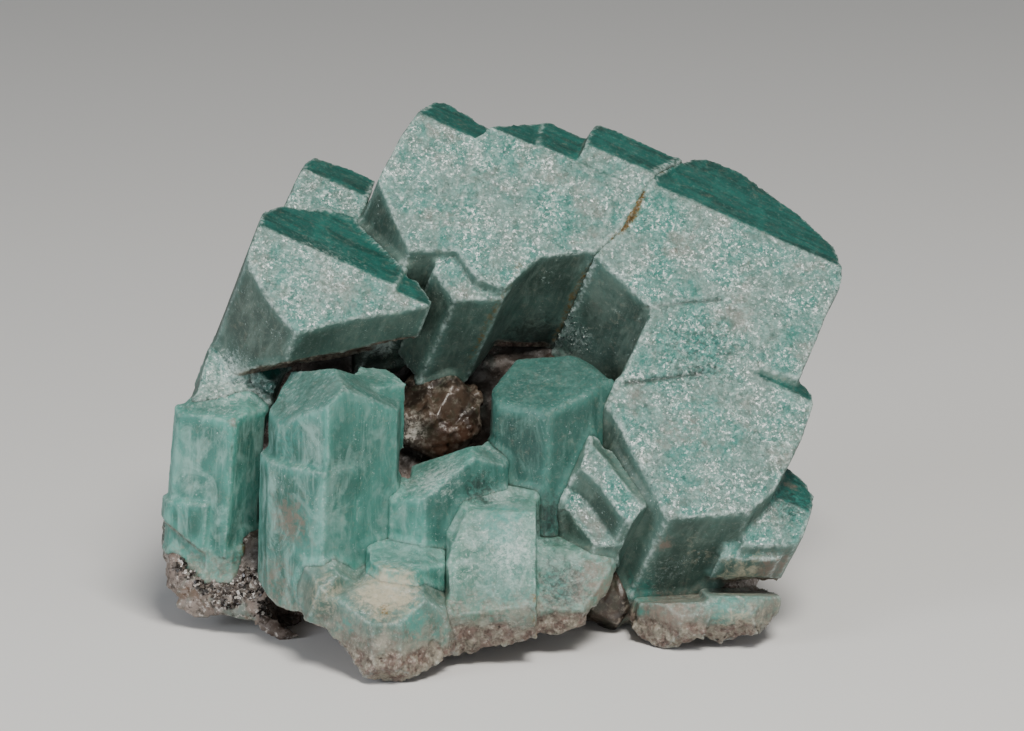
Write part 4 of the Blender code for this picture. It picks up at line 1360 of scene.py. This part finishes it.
@dataclass(frozen=True)
class Studio:
    """The pale floor, the soft lights and the camera.

    Attributes:
        target: Point that the camera looks at.
        distance: From the target to the camera.
        elevation: Height of the camera over the horizon, in degrees.
        lens: Focal length for a 36 mm sensor.
        floor_width: Width of the floor.
    """

    target: Place = (1.5, -8.0, 43.5)
    distance: float = 750.0
    elevation: float = 15.0
    lens: float = 164.8
    floor_width: float = 6000.0

    def build(self) -> None:
        """Build the stage."""
        self.floor()
        self.light("key", (150.0, -390.0, 710.0), 280.0, 7.8, "#fffaf2")
        self.light("left", (-680.0, -420.0, 260.0), 300.0, 3.0, "#f4f8ff")
        self.light("right", (620.0, -480.0, 200.0), 420.0, 0.6, "#eef4ff")
        self.light("front", (-80.0, -800.0, 40.0), 360.0, 1.5, "#f6f8fa")
        self.world()
        self.camera()

    def floor(self) -> None:
        """Lay the floor."""
        shape = bmesh.new()
        bmesh.ops.create_grid(shape, x_segments=1, y_segments=1, size=self.floor_width * MM / 2.0)
        mesh = bpy.data.meshes.new("floor")
        shape.to_mesh(mesh)
        shape.free()
        floor = placed("floor", mesh)
        board = Board("pale floor")
        board.shader.inputs["Base Color"].default_value = linear("#dededd")
        board.shader.inputs["Roughness"].default_value = 0.6
        mesh.materials.append(board.material)

    def light(self, name: str, place: Place, size: float, power: float, colour: str) -> None:
        """Hang one soft lamp that shines at the target.

        Args:
            name: Its name.
            place: Where it hangs.
            size: Width of its square panel.
            power: Its power in watts.
            colour: Its colour code.
        """
        lamp = bpy.data.lights.new(name, "AREA")
        lamp.energy = power
        lamp.size = size * MM
        lamp.color = linear(colour)[:3]
        holder = placed(name, lamp)
        holder.location = Vector(place) * MM
        aim = Vector(self.target) * MM - holder.location
        holder.rotation_euler = aim.to_track_quat("-Z", "Y").to_euler()

    def world(self) -> None:
        """Light the background evenly."""
        world = bpy.data.worlds.new("studio")
        world.use_nodes = True
        background = world.node_tree.nodes["Background"]
        background.inputs["Color"].default_value = linear("#dfe3e6")
        background.inputs["Strength"].default_value = 0.22
        bpy.context.scene.world = world

    def camera(self) -> None:
        """Set the camera at the photograph's angle."""
        lens = bpy.data.cameras.new("camera")
        lens.lens = self.lens
        lens.sensor_width = 36.0
        lens.clip_start = 0.05
        lens.clip_end = 20.0
        holder = placed("camera", lens)
        rise = math.radians(self.elevation)
        back = Vector((0.0, -math.cos(rise), math.sin(rise)))
        holder.location = (Vector(self.target) + back * self.distance) * MM
        holder.rotation_euler = (-back).to_track_quat("-Z", "Y").to_euler()
        bpy.context.scene.camera = holder


def main() -> None:
    """Build every piece and the stage."""
    logging.basicConfig(level=logging.INFO, format="%(name)s: %(message)s")
    noise.seed_set(NOISE_SEED)
    frosted = AmazoniteFinish("frosted amazonite", "#445e56", "#33463f", "#67796f", "#547a71",
                              LONG_AXIS).material()
    block = AmazoniteFinish("block amazonite", "#4c796f", "#35604f", "#9ab3ac", "#57907f", UPRIGHT,
                            cap_frost=0.25, cloud=0.7, rim=0.25).material()
    pale = AmazoniteFinish("pale amazonite", "#478378", "#2f5d53", "#92b6ad", "#55a093", UPRIGHT,
                           cloud=0.6, rim=0.2, glow=0.2).material()
    # Darker copy of the pale finish: painted shade on the centre column, which stands in shade among the
    # other crystals
    clear = AmazoniteFinish("clear amazonite", "#34625a", "#234740", "#64897f", "#428075", UPRIGHT,
                            cap_frost=0.1, cloud=0.4, rim=0.05, glow=0.15).material()
    broken = AmazoniteFinish("broken amazonite", "#547066", "#42564d", "#878d80", "#5d8c82", UPRIGHT,
                             cloud=0.7, rim=0.3, glow=0.1).material()
    quartz = QuartzFinish().material()
    feldspar = FeldsparFinish().material()
    crust = DruseFinish("ledge druse", "#1f1916", "#5f5650", "#c9c3bd").material()
    sparkle = DruseFinish("cavity druse", "#33443f", "#5a6b65", "#b4bdb9").material()
    pieces = [
        Crystal("right_crystal", frosted, "frosted_amazonite", voxel=0.5, seed=1.0),
        Crystal("top_crystal", frosted, "frosted_amazonite", voxel=0.45, seed=2.0),
        Crystal("left_crystal", frosted, "frosted_amazonite", seed=3.0),
        Crystal("back_left_crystal", frosted, "frosted_amazonite", seed=4.0),
        Crystal("stepped_crystal", frosted, "frosted_amazonite", voxel=0.35, seed=5.0),
        Crystal("small_left_crystal", frosted, "frosted_amazonite", voxel=0.35, seed=6.0),
        Crystal("front_block", block, "frosted_amazonite", voxel=0.35, broken_below=7.2, lattice=False,
                seed=7.0),
        Crystal("front_left_column", pale, "pale_amazonite", voxel=0.4, broken_below=7.0, lattice=False,
                soften=5, painted_dark_reflection_top=0.6, painted_shade_right=0.45, seed=8.0),
        Crystal("outer_left_column", pale, "pale_amazonite", voxel=0.35, broken_below=8.0, lattice=False,
                soften=4, seed=9.0),
        Crystal("centre_column", clear, "pale_amazonite", voxel=0.35, lattice=False, soften=30, painted_dark_reflection_top=0.7,
                painted_shade_right=0.4, seed=10.0),
        Crystal("low_centre_crystal", pale, "pale_amazonite", voxel=0.35, lattice=False, soften=4,
                painted_shade_right=1.0, seed=11.0),
        Crystal("small_front_crystal", pale, "pale_amazonite", voxel=0.3, lattice=False, soften=3, seed=12.0),
        Crystal("lower_front_crystal", broken, "broken_amazonite", voxel=0.35, broken_below=5.5,
                lattice=False, seed=13.0),
        Crystal("right_foot_crystal", broken, "broken_amazonite", voxel=0.35, broken_below=4.5,
                lattice=False, seed=14.0),
        BrokenLump("smoky_quartz_centre", quartz, "smoky_quartz", coarse=(8.0, 2.6), fine=(3.0, 0.9),
                   grow=0.8, seed=1.0),
        BrokenLump("smoky_quartz_left", quartz, "smoky_quartz", seed=2.0),
        BrokenLump("smoky_quartz_right", quartz, "smoky_quartz", coarse=(4.0, 0.6), seed=3.0),
        BrokenLump("feldspar_base", feldspar, "rough_feldspar", voxel=0.6, coarse=(6.0, 1.6), fine=(1.9, 0.9),
                   grit=0.35, grow=0.2, seed=4.0),
        Druse("ledge_druse", "feldspar_base_stone", crust, "rough_feldspar",
              ((-44.0, -13.2, 7.4, 3.0), (-47.5, -12.6, 8.6, 2.2), (-40.5, -12.5, 8.5, 2.6),
               (-51.0, -11.0, 10.4, 1.8), (-38.5, -13.0, 4.0, 2.0)), 520, (0.12, 0.42)),
        Druse("cavity_druse", "right_crystal_stone", sparkle, "frosted_amazonite",
              ((11.8, 10.9, 43.1, 3.0), (9.6, 12.4, 44.5, 3.0), (10.5, 11.2, 47.0, 2.0)), 110,
              (0.06, 0.16), seed=2),
    ]
    for piece in pieces:
        piece.build()
    Studio().build()


if __name__ == "__main__":
    main()
